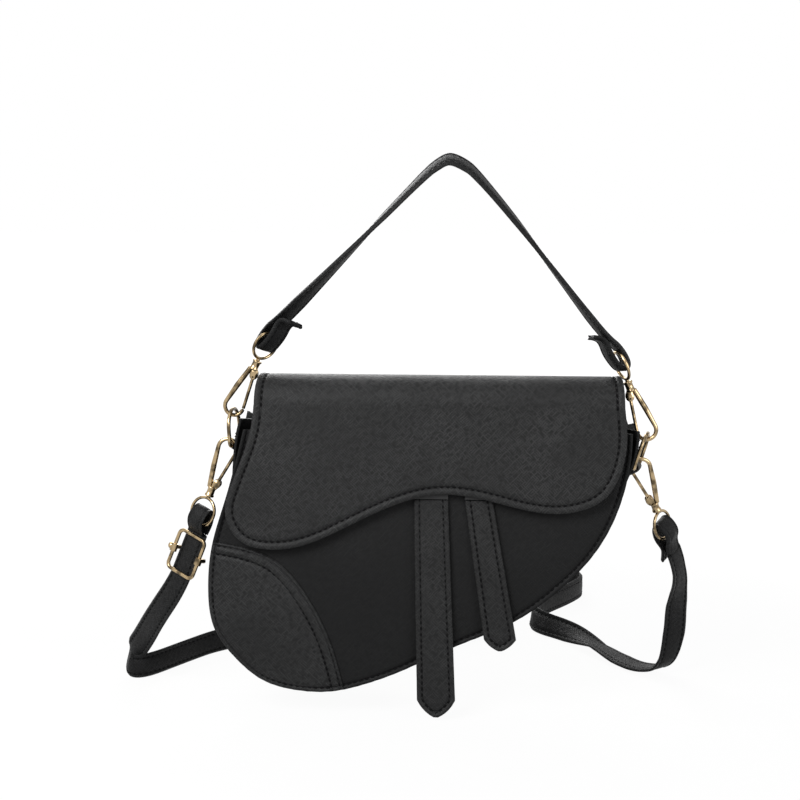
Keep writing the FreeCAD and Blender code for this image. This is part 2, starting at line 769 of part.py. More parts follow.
def make_tab(side):
    """A folded leather tab: round the ring's bar, and flat on the gusset below it."""
    sign = -1 if side == "left" else 1
    frame = ring_frame(side)
    bar = frame.Base
    bore = f"{cell('ring_wire')} + 2 * {cell('bore_play')}"
    loop = bore + " + 2 * " + cell("tab_leather")
    width = cell("tab_width")
    along_bar = frame.multiply(turned(Y_AXIS, 90, V(-size.tab_width / 2, 0, 0)))
    past_bar = frame.multiply(turned(Y_AXIS, 90, V(-size.tab_width, 0, 0)))
    ring = cylinder(side + "_tab_loop", loop, width, along_bar)
    hole = cylinder(side + "_tab_bore", bore, "2 * " + width, past_bar)
    thick = 2 * size.tab_leather
    bend = gusset_face(bar.z - size.tab_bend, side)
    low = gusset_face(bar.z - size.tab_drop, side)
    outward = V(sign * thick, 0, 0)
    up = (bar - (bend + outward / 2)).normalize()
    beside = V(up.z, 0, -up.x) * (sign * size.tab_leather)
    corners = [low, low + outward, bend + outward, bar + beside, bar - beside, bend]
    corners = [V(p.x, p.z, 0) for p in corners]
    sides = [line(a, b) for a, b in zip(corners, corners[1:] + corners[:1])]
    strap = pad(side + "_tab_strap", "XZ_Plane", sides, width)
    strap.setExpression("Placement.Base.y", width + " / 2")
    whole = fuse(side + "_tab_whole", [ring, strap])
    publish(cut(side + "_tab", whole, [hole]), side + "_tab")


# Snap hooks


def hook_frame(wire_place, up, side, play, slack):
    """The hook's own frame: Z to the eye, X to the gate, zero at the swivel's barrel.

    The ring's wire lies in the bow, moved to the gate's side by a little play."""
    frame = axes(wire_place, side, up)
    room = size.hook_bow - size.hook_wire / 2 - size.hook_play - slack - size.ring_wire / 2
    drop = math.sqrt(room * room - play * play)
    return frame.multiply(shift(V(-play, 0, size.hook_reach + drop)))


def nose_point():
    angle = math.radians(size.nose_angle)
    return V(size.hook_bow * math.cos(angle), 0, size.hook_bow * math.sin(angle) - size.hook_reach)


def make_hook_frame(name, frame):
    barrel = cylinder(name + "_barrel", cell("barrel_diameter"), cell("barrel_length"),
                      shift(V(0, 0, -size.barrel_length / 2)))
    start = V(size.hook_wire / 2 - size.barrel_diameter / 2 + size.swivel_play, 0,
              -size.barrel_length / 2 + size.chamber_floor / 2)
    centre = V(0, 0, -size.hook_reach)
    across = start - centre
    aim = math.atan2(across.z, across.x)
    tangent = aim + math.acos(size.hook_bow / across.Length)

    def on_bow(angle):
        return centre + V(math.cos(angle), 0, math.sin(angle)) * size.hook_bow

    touch = on_bow(tangent)
    nose = math.radians(size.nose_angle) + 2 * math.pi
    bow = Part.Arc(touch, on_bow((tangent + nose) / 2), on_bow(nose))
    spine = wire_form(name + "_wire", [line(start, touch).toShape(), bow.toShape()],
                      cell("hook_wire"))
    top = -size.barrel_length / 2 + size.chamber_floor / 2
    left = size.gate_side - size.cheek_width / 2
    cheeks = box(name + "_cheeks", cell("cheek_width"), cell("cheek_depth"), cell("cheek_length"),
                 shift(V(left, -size.cheek_depth / 2, top - size.cheek_length)))
    slot = box(name + "_slot", cell("cheek_width"), cell("slot_width"), cell("cheek_length"),
               shift(V(left, -size.slot_width / 2, top - size.cheek_length - size.slot_roof)))
    chamber_low = -size.barrel_length / 2 + size.chamber_floor
    chamber = cylinder(name + "_chamber", cell("chamber_diameter"),
                       f"{cell('barrel_length')} - {cell('chamber_floor')} - {cell('chamber_roof')}",
                       shift(V(0, 0, chamber_low)))
    bore = cylinder(name + "_bore", f"{cell('post_diameter')} + 2 * {cell('swivel_play')}",
                    cell("barrel_length"), shift(V(0, 0, chamber_low)))
    pin_hole = cylinder(name + "_pin_hole", cell("pin_diameter"), cell("cheek_depth"),
                        turned(X_AXIS, -90, V(size.gate_side, -size.cheek_depth / 2, -size.gate_drop)))
    slotted = cut(name + "_slotted", cheeks, [slot])
    whole = fuse(name + "_whole", [barrel, spine, slotted])
    publish(cut(name + "_hook", whole, [chamber, bore, pin_hole]), name + "_hook", frame)


def make_gate(name, frame):
    pivot = V(size.gate_side, 0, -size.gate_drop)
    toward = nose_point() - pivot
    length = toward.Length - size.gate_gap
    along = axes(pivot, Y_AXIS, toward)
    rod = doc.addObject("Part::Cylinder", name + "_rod")
    rod.setExpression("Radius", cell("gate_diameter") + " / 2")
    rod.Height = length
    rod.Placement = along
    root = cylinder(name + "_root", cell("gate_root"), cell("gate_root_depth"),
                    turned(X_AXIS, -90, pivot - V(0, size.gate_root_depth / 2, 0)))
    hole = cylinder(name + "_gate_hole", f"{cell('pin_diameter')} + {cell('swivel_play')}",
                    cell("cheek_depth"),
                    turned(X_AXIS, -90, pivot - V(0, size.cheek_depth / 2, 0)))
    whole = fuse(name + "_gate_whole", [rod, root])
    publish(cut(name + "_gate", whole, [hole]), name + "_gate", frame)
    pin = cylinder(name + "_pin", cell("pin_diameter"), cell("cheek_depth"), FreeCAD.Placement())
    publish(pin, name + "_pin", frame.multiply(
        turned(X_AXIS, -90, pivot - V(0, size.cheek_depth / 2, 0))))


def eye_frame(frame, turn):
    """The eye's frame: X through the eye, Y along the strap's loop, Z along the hook."""
    return frame.multiply(turned(Z_AXIS, turn))


def make_eye(name, frame, turn):
    """A round wire eye on a headed post that turns in the barrel."""
    base = size.barrel_length / 2 + size.eye_neck
    ring = doc.addObject("Part::Torus", name + "_ring")
    ring.setExpression("Radius1", cell("eye_radius"))
    ring.setExpression("Radius2", cell("eye_wire") + " / 2")
    ring.Placement = turned(Y_AXIS, 90, V(0, 0, base + size.eye_radius))
    roof = size.barrel_length / 2 - size.chamber_roof - size.swivel_play
    head = cylinder(name + "_head", cell("head_diameter"), cell("head_length"),
                    shift(V(0, 0, roof - size.head_length)))
    post = cylinder(name + "_post", cell("post_diameter"),
                    f"{cell('chamber_roof')} + {cell('swivel_play')} + {cell('eye_neck')}",
                    shift(V(0, 0, roof)))
    publish(fuse(name + "_eye", [ring, head, post]), name + "_eye", eye_frame(frame, turn))


def loop_points(frame, turn, shares):
    place = eye_frame(frame, turn)
    return [place.multVec(V(x * size.eye_radius, 0, z * size.eye_radius)) for x, z in shares]


def loop_axis(frame, turn):
    return eye_frame(frame, turn).Rotation.multVec(Y_AXIS)


LEFT_RING = ring_frame("left")
RIGHT_RING = ring_frame("right")
HOOK_SIDE = (size.tab_width / 2 + size.ring_half_width) / 2 - size.hook_wire / 4
HOOKS = {
    # ring's wire inside the bow, direction to the eye, side of the gate, play, slack, eye's turn
    "upper_left": (LEFT_RING.multVec(V(0, 0, size.ring_height)),
                   V(0.469, 0, 0.883), V(1, 0, 0), 0, size.upper_slack, -40.0),
    "upper_right": (RIGHT_RING.multVec(V(0, 0, size.ring_height)),
                    V(-0.379, 0, 0.925), V(-1, 0, 0), 0, size.upper_slack, 20.0),
    "lower_left": (LEFT_RING.multVec(V(-HOOK_SIDE, 0, 0)),
                   V(-0.37, -0.06, -0.927), V(1, 0, 0), size.lower_left_play, 0, -62.0),
    "lower_right": (RIGHT_RING.multVec(V(HOOK_SIDE + size.hook_play, 0, 0)),
                    V(0.36, 0.25, -0.9), V(-1, 0, -0.4), size.lower_right_play,
                    size.lower_right_slack, 40.0),
}
FRAMES = {name: (hook_frame(wire, up, side, play, slack), turn)
          for name, (wire, up, side, play, slack, turn) in HOOKS.items()}


def make_hooks():
    for name, (frame, turn) in FRAMES.items():
        make_hook_frame(name, frame)
        make_gate(name, frame)
        make_eye(name, frame, turn)


# Handle, crossbody strap and slide adjuster


def make_handle():
    """One strap: a sewn loop at each end, pulled to a peak between them."""
    left = loop_points(*FRAMES["upper_left"], HANDLE_LEFT_TIP_SHARES + HANDLE_LOOP_SHARES)
    right = loop_points(*FRAMES["upper_right"], HANDLE_RIGHT_TIP_SHARES + HANDLE_LOOP_SHARES)
    left_axis = loop_axis(*FRAMES["upper_left"])
    right_axis = loop_axis(*FRAMES["upper_right"]) * -1
    peak = V(size.peak_place, 0, PEAK_HEIGHT)
    left_mid = (left[-1] + peak) / 2
    right_mid = (right[-1] + peak) / 2
    left_shoulder = peak - X_AXIS * size.peak_half_width
    right_shoulder = peak + X_AXIS * size.peak_half_width
    sag = V(0, 0, -size.strap_thickness)
    points = left + [left_mid + sag / 2, left_shoulder, right_shoulder, right_mid + sag / 2]
    points += right[::-1]
    directions = [left_axis] * len(left)
    directions += [(left_axis + Y_AXIS) / 2, Y_AXIS, Y_AXIS, (right_axis + Y_AXIS) / 2]
    directions += [right_axis] * len(right)
    strap = ribbon("handle_strap", points, directions, size.handle_width, size.strap_thickness)
    publish(strap, "handle_strap")


def slider_frame_placement():
    frame, turn = FRAMES["lower_left"]
    return eye_frame(frame, turn).multiply(shift(V(0, 0, size.slider_reach)))


STRAP_BEHIND = size.slider_wire / 2 + size.slider_play + size.strap_thickness / 2


def make_slider():
    """A wire frame with a cross bar whose collars ride on the frame's sides."""
    place = slider_frame_placement()
    flat = turned(Z_AXIS, 90)
    half, tall, corner = size.slider_half_width, size.slider_half_length, size.slider_corner
    diagonal = corner * (1 - math.sqrt(0.5))

    def at(x, z):
        return V(x, 0, z)

    def bend(sx, sz):
        return [at(sx * (half - corner), sz * tall),
                at(sx * (half - diagonal), sz * (tall - diagonal)),
                at(sx * half, sz * (tall - corner))]

    a, b, c, d = bend(1, 1), bend(1, -1), bend(-1, -1), bend(-1, 1)
    parts = [line(at(0, tall), a[0]), Part.Arc(*a), line(a[2], b[2]), Part.Arc(*b[::-1]),
             line(b[0], c[0]), Part.Arc(*c), line(c[2], d[2]), Part.Arc(*d[::-1]),
             line(d[0], at(0, tall))]
    frame = wire_form("slider_frame", [p.toShape() for p in parts], cell("slider_wire"))
    publish(frame, "slider_frame", place.multiply(flat))
    behind = STRAP_BEHIND + size.strap_thickness / 2 + size.slider_play + size.slider_bar / 2
    bar = cylinder("slider_rod", cell("slider_bar"), f"2 * {cell('slider_half_width')}",
                   turned(Y_AXIS, 90, V(-half, -behind, 0)))
    solids, holes = [bar], []
    for sign, name in ((-1, "near"), (1, "far")):
        centre = V(sign * half, 0, -size.collar_length / 2)
        solids.append(cylinder(f"collar_{name}", cell("collar_diameter"), cell("collar_length"),
                               shift(centre)))
        solids.append(cylinder(f"collar_{name}_foot", cell("slider_bar"), f"{behind}",
                               turned(X_AXIS, 90, V(sign * half, 0, 0))))
        holes.append(cylinder(f"collar_{name}_bore",
                              f"{cell('slider_wire')} + 2 * {cell('bore_play')}",
                              cell("collar_length"), shift(centre)))
    ball = doc.addObject("Part::Sphere", "slider_ball")
    ball.setExpression("Radius", cell("ball_diameter") + " / 2")
    ball.Placement = shift(V(-half - size.collar_diameter / 2, 0, 0))
    bar_whole = fuse("slider_bar_whole", solids + [ball])
    publish(cut("slider_bar", bar_whole, holes), "slider_bar", place.multiply(flat))


def make_strap():
    """The crossbody strap: a loop on each lower hook and the long run between them."""
    width, thick = size.strap_width, size.strap_thickness
    left_frame, left_turn = FRAMES["lower_left"]
    right_frame, right_turn = FRAMES["lower_right"]
    left_axis = loop_axis(left_frame, left_turn)
    right_axis = loop_axis(right_frame, right_turn)
    left_loop = loop_points(left_frame, left_turn, SLIDER_LOOP_SHARES)
    right_loop = loop_points(right_frame, right_turn, STRAP_LOOP_SHARES)
    publish(ribbon("strap_left_loop", left_loop, [left_axis] * len(left_loop),
                   size.loop_width, thick), "strap_left_loop")
    publish(ribbon("strap_right_loop", right_loop, [right_axis] * len(right_loop),
                   size.loop_width, thick), "strap_right_loop")
    place = slider_frame_placement()
    top = -size.slider_half_length - size.slider_wire - size.slider_play
    low = size.slider_half_length + size.slider_travel + size.strap_width / 2
    start = place.multVec(V(STRAP_BEHIND, 0, top))
    end = place.multVec(V(STRAP_BEHIND, 0, low))
    joined = V(right_loop[-1] - right_loop[-2]).normalize()
    away = right_loop[-1] + joined * size.strap_width
    right_end = right_loop[-1] + joined * size.leather_gap
    rest = size.strap_width / 2 + size.floor_gap
    full = [(start, left_axis), (end, left_axis)]
    for shares, height in ((STRAP_FALL_SHARES, end.z), (STRAP_FLOOR_SHARES, rest),
                           (STRAP_RISE_SHARES, away.z)):
        full += [(V(x * size.body_width, y * size.body_width, z * height), V(*d))
                 for (x, y, z), d in shares]
    full += [(away, right_axis), (right_end, right_axis)]
    points = [p for p, _ in full]
    directions = [V(d).normalize() for _, d in full]
    splits = [-1.0] + [place + 0.5 for place in STRAP_SPLITS] + [math.inf]
    for name, first, last in zip(("left", "back", "right"), splits, splits[1:]):
        run = ribbon(f"strap_{name}_run", points, directions, width, thick, first, last)
        publish(run, f"strap_{name}_run")


def check_and_write():
    doc.recompute()
    for obj in doc.Objects:
        if "Invalid" in obj.State or "Error" in obj.State:
            raise RuntimeError(f"{obj.Label} failed: {obj.State}")
    for piece in pieces:
        shape = piece.Shape
        if shape.isNull() or not shape.isValid() or not shape.Solids:
            raise RuntimeError(f"{piece.Label} is not a valid solid")
    os.makedirs("parts", exist_ok=True)
    for piece in pieces:
        piece.Shape.exportStep(f"parts/{piece.Label}.step")
        print(f"{piece.Label}: {len(piece.Shape.Solids)} solid, {piece.Shape.Volume:.0f} mm3")


def main():
    make_panels()
    make_corner_patch()
    make_gusset()
    make_lining()
    make_crown()
    make_flap()
    make_snap()
    make_tails()
    for side in ("left", "right"):
        make_ring(side)
        make_tab(side)
    make_hooks()
    make_handle()
    make_slider()
    make_strap()
    check_and_write()


main()
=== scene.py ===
"""Saddle handbag in black embossed leather, with a short handle and a crossbody strap."""
import math
from types import SimpleNamespace

import bmesh
import bpy
import numpy as np
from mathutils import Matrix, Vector


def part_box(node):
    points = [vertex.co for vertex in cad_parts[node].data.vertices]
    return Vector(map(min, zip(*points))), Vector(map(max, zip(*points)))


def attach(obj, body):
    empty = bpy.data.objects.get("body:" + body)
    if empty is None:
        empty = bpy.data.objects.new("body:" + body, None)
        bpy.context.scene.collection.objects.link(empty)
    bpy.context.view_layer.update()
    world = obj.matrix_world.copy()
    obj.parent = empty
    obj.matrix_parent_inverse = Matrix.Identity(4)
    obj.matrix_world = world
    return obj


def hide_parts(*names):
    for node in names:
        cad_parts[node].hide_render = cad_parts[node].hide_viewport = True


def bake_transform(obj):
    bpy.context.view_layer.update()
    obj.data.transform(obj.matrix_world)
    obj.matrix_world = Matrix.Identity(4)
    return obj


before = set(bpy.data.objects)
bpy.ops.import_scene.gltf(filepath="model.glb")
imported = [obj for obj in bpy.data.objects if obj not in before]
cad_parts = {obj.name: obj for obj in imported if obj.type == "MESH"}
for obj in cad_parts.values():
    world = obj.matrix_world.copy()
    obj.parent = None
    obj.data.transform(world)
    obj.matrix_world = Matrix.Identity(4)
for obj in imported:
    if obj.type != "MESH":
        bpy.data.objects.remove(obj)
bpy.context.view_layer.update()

bl_info = {
    "name": "Saddle Handbag",
    "version": (1, 0, 0),
    "blender": (4, 5, 0),
    "location": "View3D > Sidebar > Handbag",
    "description": "Dresses a saddle handbag's solids in leather, thread and gold hardware",
    "category": "Object",
}

# The bag is drawn in millimetres above the floor; the grip under the handle's peak is the origin.
MM = 0.001
GRIP = np.array((5.0, 0.0, 308.5))

# Outlines, as shares of the body's or the flap's width and height
PANEL_SHARES = (
    (-0.463, 1.0), (-0.507, 0.731), (-0.539, 0.556), (-0.549, 0.382), (-0.533, 0.226),
    (-0.484, 0.119), (-0.419, 0.035), (-0.327, -0.004), (-0.255, -0.005), (-0.183, 0.021),
    (-0.087, 0.079), (0.039, 0.177), (0.185, 0.283), (0.29, 0.409), (0.359, 0.525),
    (0.404, 0.64), (0.438, 0.792), (0.452, 0.924), (0.454, 1.0),
)
PANEL_CORNERS = (PANEL_SHARES[5], PANEL_SHARES[13])
FLAP_SHARES = (
    (-0.46, 0.0), (-0.468, 0.183), (-0.492, 0.392), (-0.52, 0.602), (-0.53, 0.741),
    (-0.514, 0.879), (-0.478, 0.968), (-0.428, 1.0), (-0.34, 0.975), (-0.241, 0.86),
    (-0.117, 0.694), (-0.001, 0.607), (0.105, 0.63), (0.204, 0.694), (0.282, 0.724),
    (0.35, 0.702), (0.411, 0.617), (0.447, 0.458), (0.463, 0.253), (0.458, 0.0),
)
FLAP_CORNERS = (FLAP_SHARES[5], FLAP_SHARES[16])
PATCH_EDGE_SHARES = ((-0.387, 0.503), (-0.303, 0.351), (-0.255, 0.198))
# where the patch starts and ends, as shares of the length along the panel's points
PATCH_RUN = (0.15, 0.466)

# Loops through the hooks' eyes, in eye radii across and away from the hook
EYE_RADIUS = 8.0
HANDLE_LOOP_SHARES = (
    (0.58, 3.56), (0.62, 2.7), (0.41, 1.84), (0.16, 1.3), (-0.3, 1.36), (-0.42, 1.92),
    (-0.19, 2.98), (0.24, 3.68),
)
HANDLE_TIP_SHARES = {"left": ((1.66, 4.02), (0.96, 4.0)), "right": ((1.22, 4.16), (0.86, 3.98))}
STRAP_LOOP_SHARES = (
    (0.68, 4.35), (0.42, 3.8), (0.28, 3.3), (0.58, 2.6), (0.52, 1.84), (0.22, 1.32),
    (-0.22, 1.32), (-0.52, 1.84), (-0.58, 2.5), (-0.14, 3.2), (-0.14, 3.85),
)
SLIDER_LOOP_SHARES = (
    (0.48, 3.05), (0.6, 2.5), (0.5, 1.84), (0.22, 1.32),
    (-0.22, 1.32), (-0.5, 1.84), (-0.5, 2.5), (0.1, 3.05),
)

# The crossbody strap's route from the adjuster to its right loop: places and the way its width lies.
# Behind the bag it stands on its edge.
ON_EDGE = 7.9
UPRIGHT = (0.0, 0.0, 1.0)
STRAP_DESCENT = (
    ((-165.5, 3.0, 45.0), (0.82, -0.49, -0.3)),
    ((-177.0, 18.0, 26.5), (0.82, -0.5, -0.1)),
    ((-187.0, 29.0, 13.0), (0.6, -0.6, 0.6)),
    ((-187.0, 21.0, ON_EDGE), (0.1, -0.1, 1.0)),
)
STRAP_FOLDS = (
    (-176.0, 23.0), (-159.0, 51.0), (-142.0, 77.0), (-108.0, 99.0), (-58.0, 110.0), (-4.0, 115.0),
    (26.0, 123.0), (38.0, 146.0), (24.0, 167.0), (-6.0, 169.0), (-58.0, 162.0), (-88.0, 168.0),
    (-100.0, 190.0), (-86.0, 212.0), (-52.0, 217.0), (8.0, 229.0), (62.0, 240.0), (88.0, 236.0),
    (95.0, 216.0), (84.0, 194.0), (66.0, 168.0),
)
STRAP_ASCENT = (
    ((56.0, 148.0, ON_EDGE), (0.1, 0.1, 1.0)),
    ((59.0, 130.0, 7.2), (0.4, 0.28, 0.9)),
    ((80.0, 114.0, 5.8), (0.62, 0.46, 0.62)),
    ((98.0, 92.0, 3.6), (0.76, 0.6, -0.22)),
    ((110.0, 70.0, 2.2), (0.7, 0.7, 0.0)),
    ((122.0, 56.0, 2.0), (0.65, 0.76, 0.0)),
    ((135.5, 49.0, 6.0), (0.82, 0.57, 0.0)),
    ((139.5, 45.0, 28.0), (0.94, 0.34, 0.0)),
    ((139.0, 39.0, 49.0), (0.9, 0.43, 0.1)),
)
STRAP_ROUTE = (
    *STRAP_DESCENT, *(((x, y, ON_EDGE), UPRIGHT) for x, y in STRAP_FOLDS), *STRAP_ASCENT)

# Each hook: its swivel's place, the direction to its eye, the side of its gate, the eye's turn.
HOOKS = {
    "upper_left": ((-103.68, 0.0, 194.08), (0.469, 0.0, 0.883), (0.883, 0.0, -0.469), -40.0),
    "upper_right": ((105.03, 0.0, 184.08), (-0.379, 0.0, 0.925), (-0.925, 0.0, -0.379), 20.0),
    "lower_left": ((-128.8, -8.8, 123.0), (-0.37, -0.06, -0.927), (0.929, -0.024, -0.369), -62.0),
    "lower_right": ((122.7, 14.5, 112.8), (0.36, 0.25, -0.899), (-0.928, 0.0, -0.371), 40.0),
}

# Layers of the leather and how the planes lie
CROWN = {"y": -1.256, "z": 172.214, "radius": 17.286}
FLAP_LEATHER = 1.8
FLAP_LINING = 1.0
FLAP_SHELL = FLAP_LEATHER + FLAP_LINING
BULGE = 2.2
BACK_BULGE = 3.52
GUSSET_SKIN = 1.6
GUSSET_ENDS = (5.0, 1.2)
GUSSET_FOLD_FROM = 0.62
GUSSET_INSET = 4.0
GUSSET_FLARE = 8.0
GUSSET_FOLD = 8.0
GUSSET_FOLD_POWER = 1.4
GUSSET_PUFF = 2.4

# Seams, threads and the places of mesh points near an edge
UNSEWN = 20.0
THREAD_SINK = 0.3
SEAM_DEPTH = 0.4
SEAM_SPREAD = 0.9
SEAM_LIP = 0.3
STRAP_SEAM = 0.66
# shares of a strap's half width, and how far its face dips there
STRAP_FACE = ((-0.8, 0.0), (-STRAP_SEAM, 0.16), (-0.5, 0.0), (0.0, -0.12), (0.5, 0.0),
              (STRAP_SEAM, 0.16), (0.8, 0.0))
CORNER_TURNS = np.radians((0, 30, 60, 90))
EDGE_STEPS = np.array((0.0, 0.1, 0.35, 0.7, 1.0))
EDGE_SHARE_MOST = 0.2
HEM_STEPS = np.array((1.9, 2.7, 3.5, 4.2, 4.9, 6.0, 7.6))
HEMMED_FROM = 40.0
GRID_EDGE = 0.9
OUTLINE_POINTS = 400
GUSSET_POINTS = 240
SPLINE_STEPS = 24
LINE_POINTS = 600
BATCHES = 12
SIZE_DIGITS = 5


def length(name, description, default):
    """A size that a user may change, in metres."""
    return bpy.props.FloatProperty(
        name=name, description=description, default=default, subtype="DISTANCE", unit="LENGTH")


def colour(name, description, default):
    return bpy.props.FloatVectorProperty(
        name=name, description=description, default=default, subtype="COLOR")


class BagSizes(bpy.types.PropertyGroup):
    """Lengths of the bag's leather, and the lean of its flap"""
    body_width: length("Body width", "Width of the panels", 0.234)
    body_height: length("Body height", "Height of the front panel", 0.146)
    body_low: length("Body clearance", "Height of the panels above the floor", 0.014)
    depth_bottom: length("Depth at bottom", "Front to back at the bottom", 0.056)
    depth_top: length("Depth at top", "Front to back at the front panel's top", 0.034)
    panel: length("Panel", "Thickness of the panels", 0.0018)
    flap_width: length("Flap width", "Width of the flap", 0.222)
    flap_length: length("Flap length", "Length of the flap below its fold", 0.08)
    flap_tilt: bpy.props.FloatProperty(
        name="Flap tilt", description="Lean of the flap",
        default=math.radians(7.6), subtype="ANGLE", unit="ROTATION")
    strap: length("Strap", "Thickness of the straps", 0.0022)
    strap_width: length("Strap width", "Width of the crossbody strap", 0.015)
    handle_width: length("Handle width", "Width of the handle", 0.012)
    stitch_pitch: length("Stitch pitch", "From one stitch to the next", 0.0034)
    stitch_length: length("Stitch length", "Length of the thread that shows", 0.0024)
    thread: length("Thread", "Thickness of the thread", 0.0009)
    seam_inset: length("Flap seam", "From the flap's edge to its stitches", 0.0042)
    panel_seam: length("Panel seam", "From the panels' edge to their stitches", 0.0027)


class BagColours(bpy.types.PropertyGroup):
    """Colours of the bag's finishes"""
    leather: colour("Leather", "Embossed leather", (0.0075, 0.0076, 0.0078))
    # the lighter leather colour: worn raised grain, and painted highlight on the embossed dashes
    leather_worn_and_lit: colour("Leather, rubbed", "Raised grain of the leather", (0.029, 0.0293, 0.0296))
    thread: colour("Thread", "Sewing thread", (0.0025, 0.0025, 0.0028))
    lining: colour("Lining", "Woven lining", (0.05, 0.048, 0.05))
    gold: colour("Gold", "Plated hardware", (0.44, 0.33, 0.19))


def sizes():
    """The bag's lengths in millimetres, and its angle in radians."""
    group = bpy.context.scene.bag_sizes
    values = {}
    for key, kind in group.bl_rna.properties.items():
        if kind.type == "FLOAT":
            value = getattr(group, key)
            values[key] = round(value / MM, SIZE_DIGITS) if kind.unit == "LENGTH" else value
    return SimpleNamespace(**values)


def colours():
    return bpy.context.scene.bag_colours


# Points and curves, in millimetres


def metres(points):
    return (np.asarray(points, float) - GRIP) * MM


def unit(v):
    v = np.asarray(v, float)
    return v / np.linalg.norm(v, axis=-1, keepdims=True)


def lengths(points):
    steps = np.linalg.norm(np.diff(points, axis=0), axis=1)
    return np.concatenate(([0.0], np.cumsum(steps)))


def along(points, shares):
    """Points at shares of a line's length."""
    points = np.asarray(points, float)
    run = lengths(points)
    shares = np.asarray(shares) * run[-1]
    return np.stack([np.interp(shares, run, points[:, k]) for k in range(points.shape[1])], 1)


def even(points, count):
    return along(points, np.linspace(0, 1, count))


def spline(points, count):
    """A smooth curve through points, evenly spaced."""
    p = np.asarray(points, float)
    t = lengths(p)
    h = np.diff(t)
    n = len(p)
    a = np.eye(n)
    b = np.zeros_like(p)
    for i in range(1, n - 1):
        a[i, i - 1:i + 2] = h[i - 1], 2 * (h[i - 1] + h[i]), h[i]
        b[i] = 6 * ((p[i + 1] - p[i]) / h[i] - (p[i] - p[i - 1]) / h[i - 1])
    m = np.linalg.solve(a, b)
    s = np.linspace(0, t[-1], SPLINE_STEPS * n)
    k = np.clip(np.searchsorted(t, s, side="right") - 1, 0, n - 2)
    d = (s - t[k])[:, None]
    e = (t[k + 1] - s)[:, None]
    w = h[k][:, None]
    q = (m[k] * e ** 3 + m[k + 1] * d ** 3) / (6 * w)
    q += (p[k] / w - m[k] * w / 6) * e + (p[k + 1] / w - m[k + 1] * w / 6) * d
    return even(q, count)


def inner_normals(curve):
    """Directions square to a flat curve, to its left."""
    t = unit(np.gradient(curve, axis=0))
    return np.stack((-t[:, 1], t[:, 0]), 1)


def inset(curve, distance):
    return curve + inner_normals(curve) * distance


def nearest(curve, places):
    """Which of a curve's points lie nearest to some places."""
    return [int(np.argmin(((curve - p) ** 2).sum(1))) for p in np.asarray(places, float)]


def split(curve, places):
    """A curve cut at the points nearest to some places."""
    bounds = [0, *nearest(curve, places), len(curve) - 1]
    return [curve[a:b + 1] for a, b in zip(bounds, bounds[1:])]


def smoothstep(low, high, value):
    share = np.clip((np.asarray(value, float) - low) / (high - low), 0, 1)
    return share * share * (3 - 2 * share)


def hump(value, middle, spread):
    return np.exp(-((value - middle) / spread) ** 2)


def gap_to(points, lines):
    """The distance of each point from the nearest of some lines."""
    dense = np.concatenate([even(line, LINE_POINTS) for line in lines])
    flat = points.reshape(-1, points.shape[-1])
    found = [np.sqrt(((part[:, None] - dense[None]) ** 2).sum(2)).min(1)
             for part in np.array_split(flat, BATCHES)]
    return np.concatenate(found).reshape(points.shape[:-1])


# Flat grids


def crowded(length, steps, edge):
    """Places from 0 to 1, crowded inside a rounded edge and its seam at both ends."""
    near = EDGE_STEPS * min(edge / length, EDGE_SHARE_MOST)
    if length > HEMMED_FROM:
        near = np.concatenate((near, HEM_STEPS / length))
    middle = np.linspace(near[-1], 1 - near[-1], steps)
    return np.concatenate((near[:-1], middle, (1 - near[::-1])[1:]))


def grid_between(top, right, bottom, left, columns, rows, edge):
    """Flat points that fill the space between four lines; left and right run downwards."""
    width = max(lengths(top)[-1], lengths(bottom)[-1])
    height = max(lengths(left)[-1], lengths(right)[-1])
    u = crowded(width, columns, edge)
    v = crowded(height, rows, edge)
    t, b = along(top, u), along(bottom, u)
    lf, r = along(left, v), along(right, v)
    uu, vv = u[None, :, None], v[:, None, None]
    points = (1 - vv) * t[None] + vv * b[None] + (1 - uu) * lf[:, None] + uu * r[:, None]
    points -= (1 - uu) * (1 - vv) * t[0] + uu * (1 - vv) * t[-1]
    points -= (1 - uu) * vv * b[0] + uu * vv * b[-1]
    return points


def strip_grid(top, bottom, columns, rows, edge):
    """A grid between two lines, straight at its two ends."""
    ends = [np.stack((top[k], bottom[k])) for k in (-1, 0)]
    return grid_between(top, ends[0], bottom, ends[1], columns, rows, edge)


def ladder_grid(left, right, bottom, columns, rows, edge):
    """A grid between two lines that run downwards, straight at its top."""
    return grid_between(np.stack((left[0], right[0])), right, bottom, left, columns, rows, edge)


def lobe_grid(ring, corners, columns, rows, edge):
    """A grid inside a ring that starts and ends at its top, with two corners lower down."""
    left, bottom, right = split(ring, corners)
    return ladder_grid(left, right[::-1], bottom, columns, rows, edge)


# Meshes


def new_piece(name, verts, faces, uvs, material, seam=UNSEWN):
    """A mesh piece from points in millimetres.

    Its UV map holds the surface's own lengths, and seam how far each point lies from up to three
    seams, less than zero outside them."""
    mesh = bpy.data.meshes.new(name)
    mesh.from_pydata([tuple(v) for v in metres(verts)], [], [tuple(f) for f in faces])
    layer = mesh.uv_layers.new(name="surface")
    vertex_of = np.zeros(len(mesh.loops), dtype=np.int32)
    mesh.loops.foreach_get("vertex_index", vertex_of)
    layer.data.foreach_set("uv", (np.asarray(uvs, float) * MM)[vertex_of].ravel())
    sewn = mesh.attributes.new("seam", "FLOAT_VECTOR", "POINT")
    away = np.broadcast_to(np.asarray(seam, np.float32), (len(verts), 3))
    sewn.data.foreach_set("vector", away.ravel())
    shell = bmesh.new()
    shell.from_mesh(mesh)
    bmesh.ops.recalc_face_normals(shell, faces=shell.faces)
    shell.to_mesh(mesh)
    shell.free()
    mesh.polygons.foreach_set("use_smooth", np.ones(len(mesh.polygons), dtype=bool))
    mesh.materials.append(material)
    mesh.update()
    piece = bpy.data.objects.new(name, mesh)
    bpy.context.collection.objects.link(piece)
    return piece


